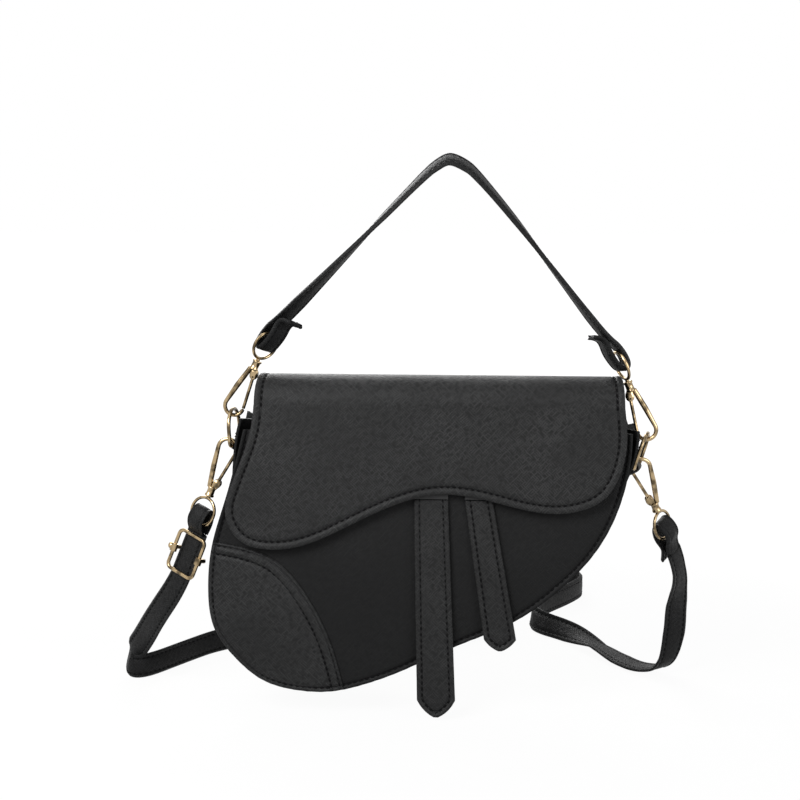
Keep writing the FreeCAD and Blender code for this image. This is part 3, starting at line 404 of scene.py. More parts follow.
def shell_faces(rows, columns):
    """Quads of a front grid, a back grid behind it and the edge between them."""
    index = np.arange(rows * columns).reshape(rows, columns)
    quads = np.stack((index[:-1, :-1], index[:-1, 1:], index[1:, 1:], index[1:, :-1]), -1)
    front = quads.reshape(-1, 4)
    back = front[:, ::-1] + rows * columns
    rim = np.concatenate((index[0, :-1], index[:-1, -1], index[-1, :0:-1], index[:0:-1, 0]))
    after = np.roll(rim, -1)
    edge = np.stack((after, rim, rim + rows * columns, after + rows * columns), -1)
    return np.concatenate((front, back, edge))


def joined(parts):
    """One list of points and one of faces from several pairs of them."""
    verts, faces = [], []
    for points, loops in parts:
        faces += [tuple(k + len(verts) for k in loop) for loop in loops]
        verts += [tuple(p) for p in points]
    return np.array(verts), faces


def stacked(loops):
    """A closed skin over loops of equal counts, one above the other."""
    count = len(loops[0])
    points = [p for loop in loops for p in loop]
    faces = []
    for row in range(len(loops) - 1):
        for k in range(count):
            a, b = row * count + k, row * count + (k + 1) % count
            faces.append((a, b, b + count, a + count))
    for row in (0, len(loops) - 1):
        points.append(np.mean(loops[row], axis=0))
        faces += [(row * count + k, row * count + (k + 1) % count, len(points) - 1)
                  for k in range(count)]
    return points, faces


def round_steps(count):
    return np.arange(count) * 2 * math.pi / count


def lathe(profile, steps=24):
    """A profile of radius and height turned about the Z axis, closed at both ends."""
    turn = round_steps(steps)
    circle = np.stack((np.cos(turn), np.sin(turn), np.zeros(steps)), 1)
    return stacked([circle * radius + (0.0, 0.0, height) for radius, height in profile])


def plate(name, grid, rounded, place, thickness, material, edge, swell=None, seams=()):
    """A leather sheet with rounded edges.

    grid holds flat points, rounded the lines where its edge is rounded, seams pairs of edges and
    how far inside them a seam runs, and place turns flat points and a height into places on the
    bag."""
    rows, columns = grid.shape[:2]
    edge = min(edge, thickness / 2)
    gap = np.clip(gap_to(grid, rounded), 0, edge)
    fall = edge - np.sqrt(np.clip(edge ** 2 - (edge - gap) ** 2, 0, None))
    lift = swell(grid) if swell else np.zeros((rows, columns))
    sewn = np.full((rows, columns, 3), UNSEWN)
    press = np.zeros((rows, columns))
    for k, (lines, reach) in enumerate(seams):
        from_edge = gap_to(grid, lines)
        sewn[..., k] = from_edge - reach
        press += SEAM_DEPTH * hump(sewn[..., k], 0.0, SEAM_SPREAD)
        press -= SEAM_LIP * np.sin(math.pi * np.clip(from_edge / reach, 0, 1))
    front = place(grid, thickness - fall + lift - press)
    back = place(grid, fall + lift)
    verts = np.concatenate((front.reshape(-1, 3), back.reshape(-1, 3)))
    uvs = np.concatenate((grid.reshape(-1, 2), grid.reshape(-1, 2)))
    sewn = np.concatenate((sewn.reshape(-1, 3), np.full((rows * columns, 3), UNSEWN)))
    return new_piece(name, verts, shell_faces(rows, columns), uvs, material, sewn)


def strap_section(width, thickness, edge):
    """A strap's cross-section: rounded edges, and faces that dip along the two seams."""
    half, thick = width / 2, thickness / 2
    face = [(half * share, thick - dip) for share, dip in STRAP_FACE]
    corner = [(half - edge + edge * math.sin(a), thick - edge + edge * math.cos(a))
              for a in CORNER_TURNS]
    top = face + corner
    return np.array(top + [(-x, -y) for x, y in top])


def strap_axes(line, across):
    """Directions across a strap and through it, square to its line."""
    ahead = unit(np.gradient(line, axis=0))
    across = unit(across - ahead * (across * ahead).sum(1, keepdims=True))
    return across, np.cross(ahead, across)


def ribbon(name, line, across, width, thickness, material, edge=0.8):
    """A strap along a line, its width lying along the given directions."""
    across, through = strap_axes(line, across)
    section = strap_section(width, thickness, min(edge, thickness / 2))
    wide, thick = section[:, :1], section[:, 1:]
    rings = [point + wide * a + thick * t for point, a, t in zip(line, across, through)]
    uvs = [np.hstack((wide, np.full_like(wide, run))) for run in lengths(line)]
    uvs += [uvs[k].mean(0, keepdims=True) for k in (0, -1)]
    away = np.abs(wide) - width / 2 * STRAP_SEAM
    sewn = np.tile(np.hstack((away, np.full((len(section), 2), UNSEWN))), (len(line), 1))
    sewn = np.vstack((sewn, np.full((2, 3), UNSEWN)))
    verts, faces = stacked(rings)
    return new_piece(name, verts, faces, np.concatenate(uvs), material, sewn)


def strap_seams(line, across, width, thickness):
    """The two lines of stitches on each face of a strap."""
    across, through = strap_axes(line, across)
    reach, out = width / 2 * STRAP_SEAM, thickness / 2 - THREAD_SINK
    return [line + across * reach * side + through * out * face
            for side in (1, -1) for face in (1, -1)]


def hand_over(piece, body, *nodes, slot="leather"):
    """Hides the solids a piece replaces and hangs the piece on the body it rides on; slot is not
    used.
    """
    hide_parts(*nodes)
    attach(piece, body)


# Node trees


class Wire:
    """A socket of a node tree; arithmetic on it adds Math nodes."""

    def __init__(self, tree, socket=None):
        self.tree = tree
        self.socket = socket

    def node(self, kind, settings=None, inputs=None, output=0):
        made = self.tree.nodes.new(kind)
        for key, value in (settings or {}).items():
            setattr(made, key, value)
        for key, value in (inputs or {}).items():
            if isinstance(value, Wire):
                self.tree.links.new(value.socket, made.inputs[key])
            else:
                made.inputs[key].default_value = value
        return Wire(self.tree, made.outputs[output])

    def math(self, operation, *values):
        return self.node("ShaderNodeMath", {"operation": operation}, dict(enumerate(values)))

    def __add__(self, other):
        return self.math("ADD", self, other)

    __radd__ = __add__

    def __mul__(self, other):
        return self.math("MULTIPLY", self, other)

    __rmul__ = __mul__

    def __sub__(self, other):
        return self.math("SUBTRACT", self, other)

    def __rsub__(self, other):
        return self.math("SUBTRACT", other, self)

    def mix(self, low, high):
        """From one colour to another, by this value."""
        return self.node("ShaderNodeMix", {"data_type": "RGBA"},
                         {0: self, 6: low, 7: high}, output=2)

    def ramp(self, low, high):
        return self.node("ShaderNodeMapRange", {"interpolation_type": "SMOOTHSTEP"},
                         {0: self, 1: low, 2: high})

    def noise(self, place, scale, detail, output=0):
        return self.node("ShaderNodeTexNoise", None,
                         {"Vector": place, "Scale": scale, "Detail": detail}, output)

    def bump(self, height, strength, distance, **under):
        return self.node("ShaderNodeBump", None, {
            "Strength": strength, "Distance": distance, "Height": height, **under})

    def surface(self):
        """Places along the leather, in metres."""
        return self.node("ShaderNodeUVMap", {"uv_map": "surface"})

    def place(self):
        """Places in the object's own frame, in metres."""
        return self.node("ShaderNodeTexCoord", output="Object")


def new_finish(name):
    """A material with an empty tree, its shader and the wire that its nodes start from."""
    material = bpy.data.materials.new(name)
    material.use_nodes = True
    tree = material.node_tree
    tree.nodes.clear()
    shader = tree.nodes.new("ShaderNodeBsdfPrincipled")
    output = tree.nodes.new("ShaderNodeOutputMaterial")
    tree.links.new(shader.outputs[0], output.inputs[0])
    return material, shader, Wire(tree)


def feed(shader, values):
    for key, value in values.items():
        value.tree.links.new(value.socket, shader.inputs[key])


def rgba(colour, share=1.0):
    return (*(share * c for c in colour), 1.0)


# Finishes


def seam_press(start):
    """How far the leather is pulled in: a narrow groove at a seam, and a soft slope beside it."""
    sewn = start.node("ShaderNodeAttribute", {"attribute_name": "seam"}, output=1)
    each = [start.math("ABSOLUTE", start.node("ShaderNodeSeparateXYZ", None, {0: sewn}, output=k))
            for k in range(3)]
    away = start.math("MINIMUM", start.math("MINIMUM", each[0], each[1]), each[2])
    return 1.0 - away.ramp(0.2, 0.8), 1.0 - away.ramp(0.2, 2.6)


def hatched(start, place, angle, shift):
    """Raised dashes along one diagonal."""
    turned = start.node("ShaderNodeMapping", None, {
        "Vector": place, "Rotation": (0.0, 0.0, angle), "Location": (shift, 0.0, 0.0)})
    ridge = start.node("ShaderNodeTexWave", {"wave_profile": "SIN"}, {
        "Vector": turned, "Scale": 270.0, "Distortion": 0.5, "Detail": 1.0,
        "Detail Scale": 2.0}, output=1)
    dashes = start.node("ShaderNodeMapping", None, {
        "Vector": turned, "Scale": (700.0, 240.0, 1.0)})
    return ridge * start.noise(dashes, scale=1.0, detail=1.0).ramp(0.36, 0.62)


def embossed_leather(name, wear_and_light, gloss):
    """Cross-hatched leather: short raised dashes along both diagonals, coloured lighter on top as
    worn grain and as painted highlight.
    """
    material, shader, start = new_finish(name)
    surface = start.surface()
    drift = start.noise(surface, scale=220.0, detail=2.0, output=1)
    wander = start.node("ShaderNodeVectorMath", {"operation": "MULTIPLY_ADD"},
                        {0: drift, 1: (0.0014, 0.0014, 0.0), 2: surface})
    diagonal = math.radians(45.0)
    hatch = start.math("MAXIMUM", hatched(start, wander, diagonal, 0.0),
                       hatched(start, wander, -diagonal, 3.7))
    pores = start.noise(surface, scale=1900.0, detail=3.0)
    patches = start.noise(surface, scale=24.0, detail=3.0).ramp(0.35, 0.7)
    groove, puff = seam_press(start)
    # The raised dashes are coloured lighter: partly worn grain, partly painted highlight where their
    # ridges catch the light.
    rubbed_and_lit = hatch * (0.45 + 0.55 * patches)
    grain = (wear_and_light * rubbed_and_lit).mix(rgba(colours().leather), rgba(colours().leather_worn_and_lit))
    # Painted shade: the seam's groove is darkened halfway to the thread colour.
    shade = (0.5 * groove).mix(grain, rgba(colours().thread))
    pressed = start.bump(1.0 - 0.5 * groove - 0.5 * puff, strength=0.9, distance=0.0006)
    relief = start.bump(hatch + 0.3 * pores, strength=0.6, distance=0.0002, Normal=pressed)
    feed(shader, {"Base Color": shade, "Normal": relief,
                  "Roughness": 0.55 - 0.17 * rubbed_and_lit + 0.06 * pores})
    shader.inputs["Specular IOR Level"].default_value = gloss
    return material


def handled_leather():
    """The leather of flap, tails and patch, worn by hands; its raised dashes are the lightest, partly
    as painted highlight.
    """
    return embossed_leather("handled_leather", wear_and_light=1.0, gloss=0.15)


def strap_leather():
    """The leather of handle and crossbody strap, a little duller than the flap's."""
    return embossed_leather("strap_leather", wear_and_light=0.62, gloss=0.1)


def shaded_panel_leather():
    """The body's leather: the same leather as the flap, coloured darker as painted shade on the body
    below the flap.
    """
    # raised dashes kept dark here: painted shade on the body below the flap
    return embossed_leather("shaded_panel_leather", wear_and_light=0.2, gloss=0.09)


def smooth_leather():
    """The smooth leather of flap lining, tabs, welts and tail roots."""
    material, shader, start = new_finish("smooth_leather")
    surface = start.surface()
    grain = start.node("ShaderNodeTexVoronoi", {"feature": "F1"},
                       {"Vector": surface, "Scale": 1300.0})
    creases = start.noise(surface, scale=180.0, detail=4.0)
    worn = 0.25 + 0.3 * creases.ramp(0.3, 0.75)
    shade = worn.mix(rgba(colours().leather), rgba(colours().leather_worn_and_lit))
    relief = start.bump(grain + 0.2 * creases, strength=0.4, distance=0.0001)
    feed(shader, {"Base Color": shade, "Normal": relief, "Roughness": 0.46 + 0.12 * creases})
    shader.inputs["Specular IOR Level"].default_value = 0.3
    return material


def sewing_thread():
    """Twisted black thread."""
    material, shader, start = new_finish("sewing_thread")
    twist = start.node("ShaderNodeTexWave", {"bands_direction": "DIAGONAL"},
                       {"Vector": start.place(), "Scale": 900.0, "Distortion": 1.0}, output=1)
    thread = colours().thread
    feed(shader, {"Base Color": twist.mix(rgba(thread, 0.55), rgba(thread)),
                  "Roughness": 0.6 + 0.2 * twist})
    shader.inputs["Specular IOR Level"].default_value = 0.08
    return material


def woven_lining():
    """A plain-weave lining cloth."""
    material, shader, start = new_finish("woven_lining")
    surface = start.surface()
    warp, weft = (start.node("ShaderNodeTexWave", {"bands_direction": axis},
                             {"Vector": surface, "Scale": 420.0}, output=1) for axis in "XY")
    weave = warp * weft
    lining = colours().lining
    feed(shader, {"Base Color": weave.mix(rgba(lining, 0.5), rgba(lining)),
                  "Roughness": 0.8 - 0.15 * weave,
                  "Normal": start.bump(weave, strength=0.5, distance=0.00012)})
    return material


def plated_gold():
    """Pale gold plating with a brushed sheen, darker in random patches: partly tarnish, partly
    painted dark reflections.
    """
    material, shader, start = new_finish("plated_gold")
    place = start.place()
    # Painted reflection, partly: dark patches stand in for the dark surroundings the plating would
    # mirror, and for tarnish.
    tarnish_and_dark_reflection = start.noise(place, scale=190.0, detail=2.0).ramp(0.38, 0.64)
    scratches = start.noise(place, scale=1500.0, detail=2.0)
    gold = colours().gold
    feed(shader, {"Base Color": tarnish_and_dark_reflection.mix(rgba(gold), rgba(gold, 0.24)),
                  "Roughness": 0.14 + 0.14 * tarnish_and_dark_reflection + 0.05 * scratches,
                  "Normal": start.bump(scratches, strength=0.12, distance=0.00005)})
    shader.inputs["Metallic"].default_value = 1.0
    return material


FINISHES = {
    "leather": handled_leather,
    "strap": strap_leather,
    "panel": shaded_panel_leather,
    "smooth": smooth_leather,
    "thread": sewing_thread,
    "lining": woven_lining,
    "gold": plated_gold,
}
MADE = {}


def finish(name):
    if name not in MADE:
        MADE[name] = FINISHES[name]()
    return MADE[name]


# Stitches


STITCH_INPUTS = {"Rows": "Geometry", "Pitch": "Float", "Stitch length": "Float",
                 "Thread": "Float", "Finish": "Material"}


def stitch_tree():
    """Rows of stitches along lines: an egg of thread at every pitch, lying along its row."""
    name = "stitch_rows"
    if name in bpy.data.node_groups:
        return bpy.data.node_groups[name]
    tree = bpy.data.node_groups.new(name, "GeometryNodeTree")
    for label, kind in STITCH_INPUTS.items():
        tree.interface.new_socket(label, in_out="INPUT", socket_type=f"NodeSocket{kind}")
    tree.interface.new_socket("Stitches", in_out="OUTPUT", socket_type="NodeSocketGeometry")
    start = Wire(tree)
    rows, pitch, length, thread, material = (
        start.node("NodeGroupInput", output=label) for label in STITCH_INPUTS)
    curve = start.node("GeometryNodeMeshToCurve", None, {"Mesh": rows})
    points = start.node("GeometryNodeCurveToPoints", {"mode": "LENGTH"},
                        {"Curve": curve, "Length": pitch})
    tangent = Wire(tree, points.socket.node.outputs["Tangent"])
    aim = start.node("FunctionNodeAlignRotationToVector", {"axis": "Z"}, {"Vector": tangent})
    scale = start.node("ShaderNodeCombineXYZ", None, {
        "X": 0.5 * thread, "Y": 0.5 * thread, "Z": 0.5 * length})
    egg = start.node("GeometryNodeMeshIcoSphere", None, {"Subdivisions": 2})
    placed = start.node("GeometryNodeInstanceOnPoints", None, {
        "Points": points, "Instance": egg, "Rotation": aim, "Scale": scale})
    real = start.node("GeometryNodeRealizeInstances", None, {"Geometry": placed})
    smooth = start.node("GeometryNodeSetShadeSmooth", None, {"Geometry": real})
    done = start.node("GeometryNodeSetMaterial", None, {"Geometry": smooth, "Material": material})
    output = tree.nodes.new("NodeGroupOutput")
    tree.links.new(done.socket, output.inputs["Stitches"])
    return tree


def stitches(name, rows):
    """One mesh with the stitches of all the rows, each a line of points in millimetres."""
    verts, edges = [], []
    for row in rows:
        first = len(verts)
        verts += [tuple(v) for v in metres(row)]
        edges += [(i, i + 1) for i in range(first, len(verts) - 1)]
    mesh = bpy.data.meshes.new(name)
    mesh.from_pydata(verts, edges, [])
    piece = bpy.data.objects.new(name, mesh)
    bpy.context.collection.objects.link(piece)
    modifier = piece.modifiers.new("rows", "NODES")
    modifier.node_group = stitch_tree()
    s = sizes()
    wanted = {"Pitch": s.stitch_pitch * MM, "Stitch length": s.stitch_length * MM,
              "Thread": s.thread * MM, "Finish": finish("thread")}
    for item in modifier.node_group.interface.items_tree:
        if item.in_out == "INPUT" and item.name in wanted:
            modifier[item.identifier] = wanted[item.name]
    bpy.context.view_layer.update()
    solid = bpy.data.meshes.new_from_object(
        piece.evaluated_get(bpy.context.evaluated_depsgraph_get()))
    piece.modifiers.remove(modifier)
    piece.data = solid
    return piece


def sew(name, rows, body):
    """Stitches that ride on a body."""
    thread = stitches(name, rows)
    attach(thread, body)
    return thread


# The bag's planes


def tilt():
    s = sizes()
    return math.atan((s.depth_bottom - s.depth_top) / 2 / s.body_height)


def seam_depth(height):
    """How far a panel's inside lies from the bag's middle plane."""
    s = sizes()
    outer = s.depth_bottom / 2 - math.tan(tilt()) * (np.asarray(height) - s.body_low)
    return outer - s.panel / math.cos(tilt())


def on_panel(offset, side=-1):
    """Flat points of a panel, and a height outwards from its seam plane plus an offset."""
    def place(points, height):
        x, z = points[..., 0], points[..., 1]
        out = np.broadcast_to(np.asarray(height, float), x.shape) + offset
        y = seam_depth(0) - z * math.tan(tilt()) + out * math.cos(tilt())
        return np.stack((x, side * y, z + out * math.sin(tilt())), -1)
    return place


def hinge():
    """The flap's hinge line, at the front end of the crown's arc."""
    lean = sizes().flap_tilt
    return (CROWN["y"] - CROWN["radius"] * math.cos(lean),
            CROWN["z"] + CROWN["radius"] * math.sin(lean))


def on_flap(depth):
    """Flat points of the flap, zero at its fold, and a height outwards from a depth inside it."""
    lean = sizes().flap_tilt
    y0, z0 = hinge()

    def place(points, height):
        x, down = points[..., 0], points[..., 1]
        out = np.broadcast_to(np.asarray(height, float), x.shape) - depth
        y = y0 + down * math.sin(lean) - out * math.cos(lean)
        return np.stack((x, y, z0 + down * math.cos(lean) + out * math.sin(lean)), -1)
    return place


def on_crown(points, height):
    """Points across the bag and along the fold's outer arc from its back edge."""
    turn = tilt() + points[..., 1] / CROWN["radius"]
    reach = CROWN["radius"] + np.asarray(height, float) - FLAP_SHELL
    return np.stack((points[..., 0], CROWN["y"] + reach * np.cos(turn),
                     CROWN["z"] + reach * np.sin(turn)), -1)


def panel_points(shares):
    s = sizes()
    return [(x * s.body_width, s.body_low + z * s.body_height) for x, z in shares]


def flap_points(shares):
    s = sizes()
    return [(x * s.flap_width, -z * s.flap_length) for x, z in shares]


def panel_outline(count=OUTLINE_POINTS):
    return spline(panel_points(PANEL_SHARES), count)


def belly(height, slope, low, high):
    """A panel's soft swell: none at its edge, and fading upwards from low to high."""
    def swell(points):
        edge = gap_to(points, [panel_outline()])
        return height * (1 - np.exp(-edge / slope)) * (1 - smoothstep(low, high, points[..., 1]))
    return swell


front_swell = belly(BULGE, slope=18.0, low=80.0, high=125.0)
back_swell = belly(BACK_BULGE, slope=24.0, low=100.0, high=165.0)


def gusset_path():
    """The side strip's flat path past both panel tops, its inward directions and how far it folds."""
    s = sizes()
    outline = panel_outline(GUSSET_POINTS)
    first = outline[0] + unit(outline[0] - outline[2]) * GUSSET_ENDS[0]
    last = outline[-1] + unit(outline[-1] - outline[-3]) * GUSSET_ENDS[1]
    path = np.vstack((first, outline, last))
    rise = smoothstep(s.body_low + GUSSET_FOLD_FROM * s.body_height, s.body_low + s.body_height,
                      path[:, 1])
    return path, inner_normals(path), rise


def gusset_edge(rise):
    return GUSSET_INSET - GUSSET_FLARE * rise


def gusset_reach(rise, across):
    """How far the strip lies inside the path: puffed low down, folded inwards at its tops."""
    fold = GUSSET_FOLD * np.cos(across * math.pi / 2) ** GUSSET_FOLD_POWER
    puff = GUSSET_PUFF * (1 - across ** 2)
    rise = rise[:, None]
    return gusset_edge(rise) + fold * rise - puff * (1 - rise)


# Hooks and routes


def hook_axes(name):
    """A hook's place, and the directions to its gate, across its plane and to its eye."""
    place, up, side, _ = HOOKS[name]
    up = unit(up)
    side = unit(np.asarray(side) - up * np.dot(side, up))
    return np.asarray(place, float), side, np.cross(up, side), up


def eye_axes(name):
    """A hook's place and its eye's three directions: through it, along its loop, and outwards."""
    place, side, normal, up = hook_axes(name)
    turn = math.radians(HOOKS[name][-1])
    through = side * math.cos(turn) + normal * math.sin(turn)
    return place, through, normal * math.cos(turn) - side * math.sin(turn), up


def loop_points(name, shares):
    place, through, _, up = eye_axes(name)
    return [place + through * x * EYE_RADIUS + up * z * EYE_RADIUS for x, z in shares]


def steered(points):
    """The points of a smooth curve that a route's points steer, in millimetres."""
    curve = bpy.data.curves.new("route", "CURVE")
    curve.dimensions = "3D"
    curve.resolution_u = 12
    run = curve.splines.new("NURBS")
    run.points.add(len(points) - 1)
    for knot, place in zip(run.points, points):
        knot.co = (*place, 1.0)
    run.order_u = 3
    run.use_endpoint_u = True
    holder = bpy.data.objects.new("route", curve)
    mesh = bpy.data.meshes.new_from_object(holder)
    line = np.array([tuple(v.co) for v in mesh.vertices])
    bpy.data.objects.remove(holder)
    bpy.data.curves.remove(curve)
    bpy.data.meshes.remove(mesh)
    return line


def steered_directions(directions, count):
    """Directions at each point of a steered curve, from those at the points that steer it."""
    directions = unit(np.array(directions, float))
    last = len(directions) - 2
    places = np.linspace(0, last, count)
    knots = np.concatenate(([0], np.arange(last) + 0.5, [last]))
    return np.stack([np.interp(places, knots, directions[:, k]) for k in range(3)], 1)


class BagOperator(bpy.types.Operator):
    bl_options = {"REGISTER", "UNDO"}


class SADDLEBAG_OT_view(BagOperator):
    """Camera, lamps and the white floor and backdrop"""
    bl_idname = "saddlebag.view"
    bl_label = "Camera and stage"

    CAMERA_PLACE = (34.4, -810.2, 303.6)
    CAMERA_AIM = (-20.7, -22.0, 178.5)
    SENSOR = 36.0
    FOCAL_PIXELS = 1467.0
    PHOTO_PIXELS = 800.0
    LAMP_AIM = (0.0, 0.0, 120.0)
    # place, size in metres and power in watts
    LAMPS = {
        "key": ((-420.0, -560.0, 640.0), 0.45, 8.4),
        "fill": ((640.0, -480.0, 340.0), 0.45, 3.2),
        "top": ((60.0, 160.0, 900.0), 0.8, 1.0),
        "back": ((-260.0, 820.0, 620.0), 0.7, 8.0),
    }
    WHITE = (1.0, 1.0, 1.0, 1.0)
    WORLD_LIGHT = 0.12
    FLOOR_GREYS = ((0.3, 0.3, 0.3), (0.36, 0.36, 0.36))
    FLOOR_GLOW = 1.08
    # the floor's share of white under the bag, and the distances where it grows to all white
    FLOOR_WHITE = 0.88
    WHITE_FROM = 0.4
    WHITE_AT = 0.7
    FLOOR_HALF = 6000.0
    FLOOR_DROP = 0.4

    def execute(self, context):
        scene = context.scene
        scene.view_settings.view_transform = "Standard"
        camera = bpy.data.cameras.new("photo_camera")
        camera.sensor_width = self.SENSOR
        camera.lens = self.SENSOR * self.FOCAL_PIXELS / self.PHOTO_PIXELS
        scene.camera = self.aimed(context, camera, self.CAMERA_PLACE, self.CAMERA_AIM)
        for name, (place, size, power) in self.LAMPS.items():
            lamp = bpy.data.lights.new(name, "AREA")
            lamp.size = size
            lamp.energy = power
            self.aimed(context, lamp, place, self.LAMP_AIM)
        self.white_world(scene)
        self.floor(context)
        return {"FINISHED"}

    def aimed(self, context, data, place, aim):
        """A camera or lamp at one place, turned towards another."""
        holder = bpy.data.objects.new(data.name, data)
        holder.location = Vector(metres(place))
        ahead = Vector(metres(aim)) - holder.location
        holder.rotation_euler = ahead.to_track_quat("-Z", "Y").to_euler()
        context.collection.objects.link(holder)
        return holder

    def seen_rays(self, start):
        """1 for what the camera sees, straight, mirrored or through something, and 0 for light."""
        seen = [start.node("ShaderNodeLightPath", output=f"Is {ray} Ray")
                for ray in ("Camera", "Glossy", "Transmission")]
        return start.math("MINIMUM", seen[0] + seen[1] + seen[2], 1.0)

    def white_world(self, scene):
        world = bpy.data.worlds.new("studio")
        world.use_nodes = True
        tree = world.node_tree
        tree.nodes.clear()
        start = Wire(tree)
        light, backdrop = (start.node("ShaderNodeBackground", None, {0: self.WHITE, 1: strength})
                           for strength in (self.WORLD_LIGHT, 1.0))
        both = start.node("ShaderNodeMixShader", None,
                          {0: self.seen_rays(start), 1: light, 2: backdrop})
        output = tree.nodes.new("ShaderNodeOutputWorld")
        tree.links.new(both.socket, output.inputs[0])
        scene.world = world

    def floor(self, context):
        """A pale floor that glows white for the camera, with the bag's shadow left in it."""
        material, shader, start = new_finish("white_floor")
        place = start.place()
        grain = start.noise(place, scale=40.0, detail=3.0)
        feed(shader, {"Base Color": grain.mix(*map(rgba, self.FLOOR_GREYS))})
        shader.inputs["Roughness"].default_value = 0.9
        shader.inputs["Specular IOR Level"].default_value = 0.0
        glow = start.node("ShaderNodeEmission", None, {0: self.WHITE, 1: self.FLOOR_GLOW})
        reach = start.node("ShaderNodeVectorMath", {"operation": "LENGTH"}, {0: place}, output=1)
        far = reach.ramp(self.WHITE_FROM, self.WHITE_AT)
        white = self.FLOOR_WHITE + (1.0 - self.FLOOR_WHITE) * far
        tree = material.node_tree
        both = start.node("ShaderNodeMixShader", None, {
            0: self.seen_rays(start) * white, 1: Wire(tree, shader.outputs[0]), 2: glow})
        output = next(n for n in tree.nodes if n.type == "OUTPUT_MATERIAL")
        tree.links.new(both.socket, output.inputs[0])
        mesh = bpy.data.meshes.new("floor")
        corners = [(GRIP[0] + self.FLOOR_HALF * x, self.FLOOR_HALF * y, -self.FLOOR_DROP)
                   for x, y in ((-1, -1), (1, -1), (1, 1), (-1, 1))]
        mesh.from_pydata([tuple(p) for p in metres(corners)], [], [(0, 1, 2, 3)])
        mesh.materials.append(material)
        floor = bpy.data.objects.new("floor", mesh)
        context.collection.objects.link(floor)


class SADDLEBAG_OT_strap(BagOperator):
    """The crossbody strap with its stitches, and its sewn loops"""
    bl_idname = "saddlebag.strap"
    bl_label = "Crossbody strap"

    LENGTH = 1.056
    # from the swivel to the adjuster's bar, the strap's way behind it, and its places beside it
    SLIDER_REACH = 39.0
    BEHIND_BAR = 2.6
    BESIDE_BAR = (-14.2, 2.0, 19.0)

    def execute(self, context):
        s = sizes()
        place, through, left_axis, up = eye_axes("lower_left")
        middle = place + up * self.SLIDER_REACH + through * self.BEHIND_BAR
        held = [(middle + up * beside, left_axis) for beside in self.BESIDE_BAR]
        _, _, right_axis, right_up = eye_axes("lower_right")
        loop_end = loop_points("lower_right", STRAP_LOOP_SHARES)[-1]
        right = [(loop_end + right_up * s.strap_width, right_axis), (loop_end, right_axis)]
        points, directions = zip(*held, *STRAP_ROUTE, *right)
        line = steered(points)
        across = steered_directions(directions, len(line))
        strap = ribbon("crossbody_strap", line, across, s.strap_width, s.strap, finish("strap"))
        hand_over(strap, "bag", "strap_left_run", "strap_back_run", "strap_right_run")
        for side, shares, axis in (("left", SLIDER_LOOP_SHARES, left_axis),
                                   ("right", STRAP_LOOP_SHARES, right_axis)):
            ring = steered(loop_points(f"lower_{side}", shares))
            loop = ribbon(f"strap_loop_{side}", ring, np.tile(axis, (len(ring), 1)),
                          s.handle_width, s.strap, finish("strap"))
            hand_over(loop, "bag", f"strap_{side}_loop")
        rows = strap_seams(line, across, s.strap_width, s.strap)
        thread = sew("crossbody_strap_stitches", rows, "bag")
        path = [tuple(p) for p in metres(line)]
        tuple(metres(held[0][0]))
        return {"FINISHED"}


class SADDLEBAG_OT_handle(BagOperator):
    """The short handle, one strap with a sewn loop at each end"""
    bl_idname = "saddlebag.handle"
    bl_label = "Handle"

    PADDING = 0.2
    PEAK = np.array((5.0, 0.0, 308.2))
    PEAK_HALF = 1.8
    PEAK_TILT = math.radians(26.0)
    # places between loop and peak, and how far the runs bow outwards there
    RUN_SHARES = (0.1, 0.35, 0.65, 0.9, 0.955)
    BOWS = {"left": (0.0, 0.6, 1.6, 2.2, 1.4), "right": (0.0, 2.0, 4.2, 4.4, 2.6)}
    # how far the strap has turned from its loop to level, and from level to the tilt of its peak
    LEVEL_SHARES = (0.1, 0.6, 1.0, 1.0, 1.0)
    TILT_SHARES = (0.0, 0.1, 0.5, 0.9, 1.0)

    def execute(self, context):
        s = sizes()
        thickness = s.strap + self.PADDING
        straight = np.array((0.0, 1.0, 0.0))
        tilted = np.array((0.0, math.cos(self.PEAK_TILT), math.sin(self.PEAK_TILT)))
        points, directions = [], []
        for side, sign in (("left", -1), ("right", 1)):
            hook = f"upper_{side}"
            axis = eye_axes(hook)[2]
            axis = axis if axis[1] > 0 else -axis
            loop = loop_points(hook, HANDLE_TIP_SHARES[side] + HANDLE_LOOP_SHARES)
            shoulder = self.PEAK + np.array((sign * self.PEAK_HALF, 0.0, 0.0))
            reach = shoulder - loop[-1]
            outwards = unit((sign * reach[2], 0.0, -sign * reach[0]))
            run = [loop[-1] + reach * share + outwards * bow
                   for share, bow in zip(self.RUN_SHARES, self.BOWS[side])]
            turns = [axis * (1 - level) + straight * level * (1 - lean) + tilted * lean
                     for level, lean in zip(self.LEVEL_SHARES, self.TILT_SHARES)]
            points += (loop + run + [shoulder])[::-sign]
            directions += ([axis] * len(loop) + turns + [tilted])[::-sign]
        line = steered(points)
        across = steered_directions(directions, len(line))
        handle = ribbon("handle", line, across, s.handle_width, thickness, finish("strap"))
        hand_over(handle, "handle", "handle_strap")
        sew("handle_stitches", strap_seams(line, across, s.handle_width, thickness), "handle")
        return {"FINISHED"}


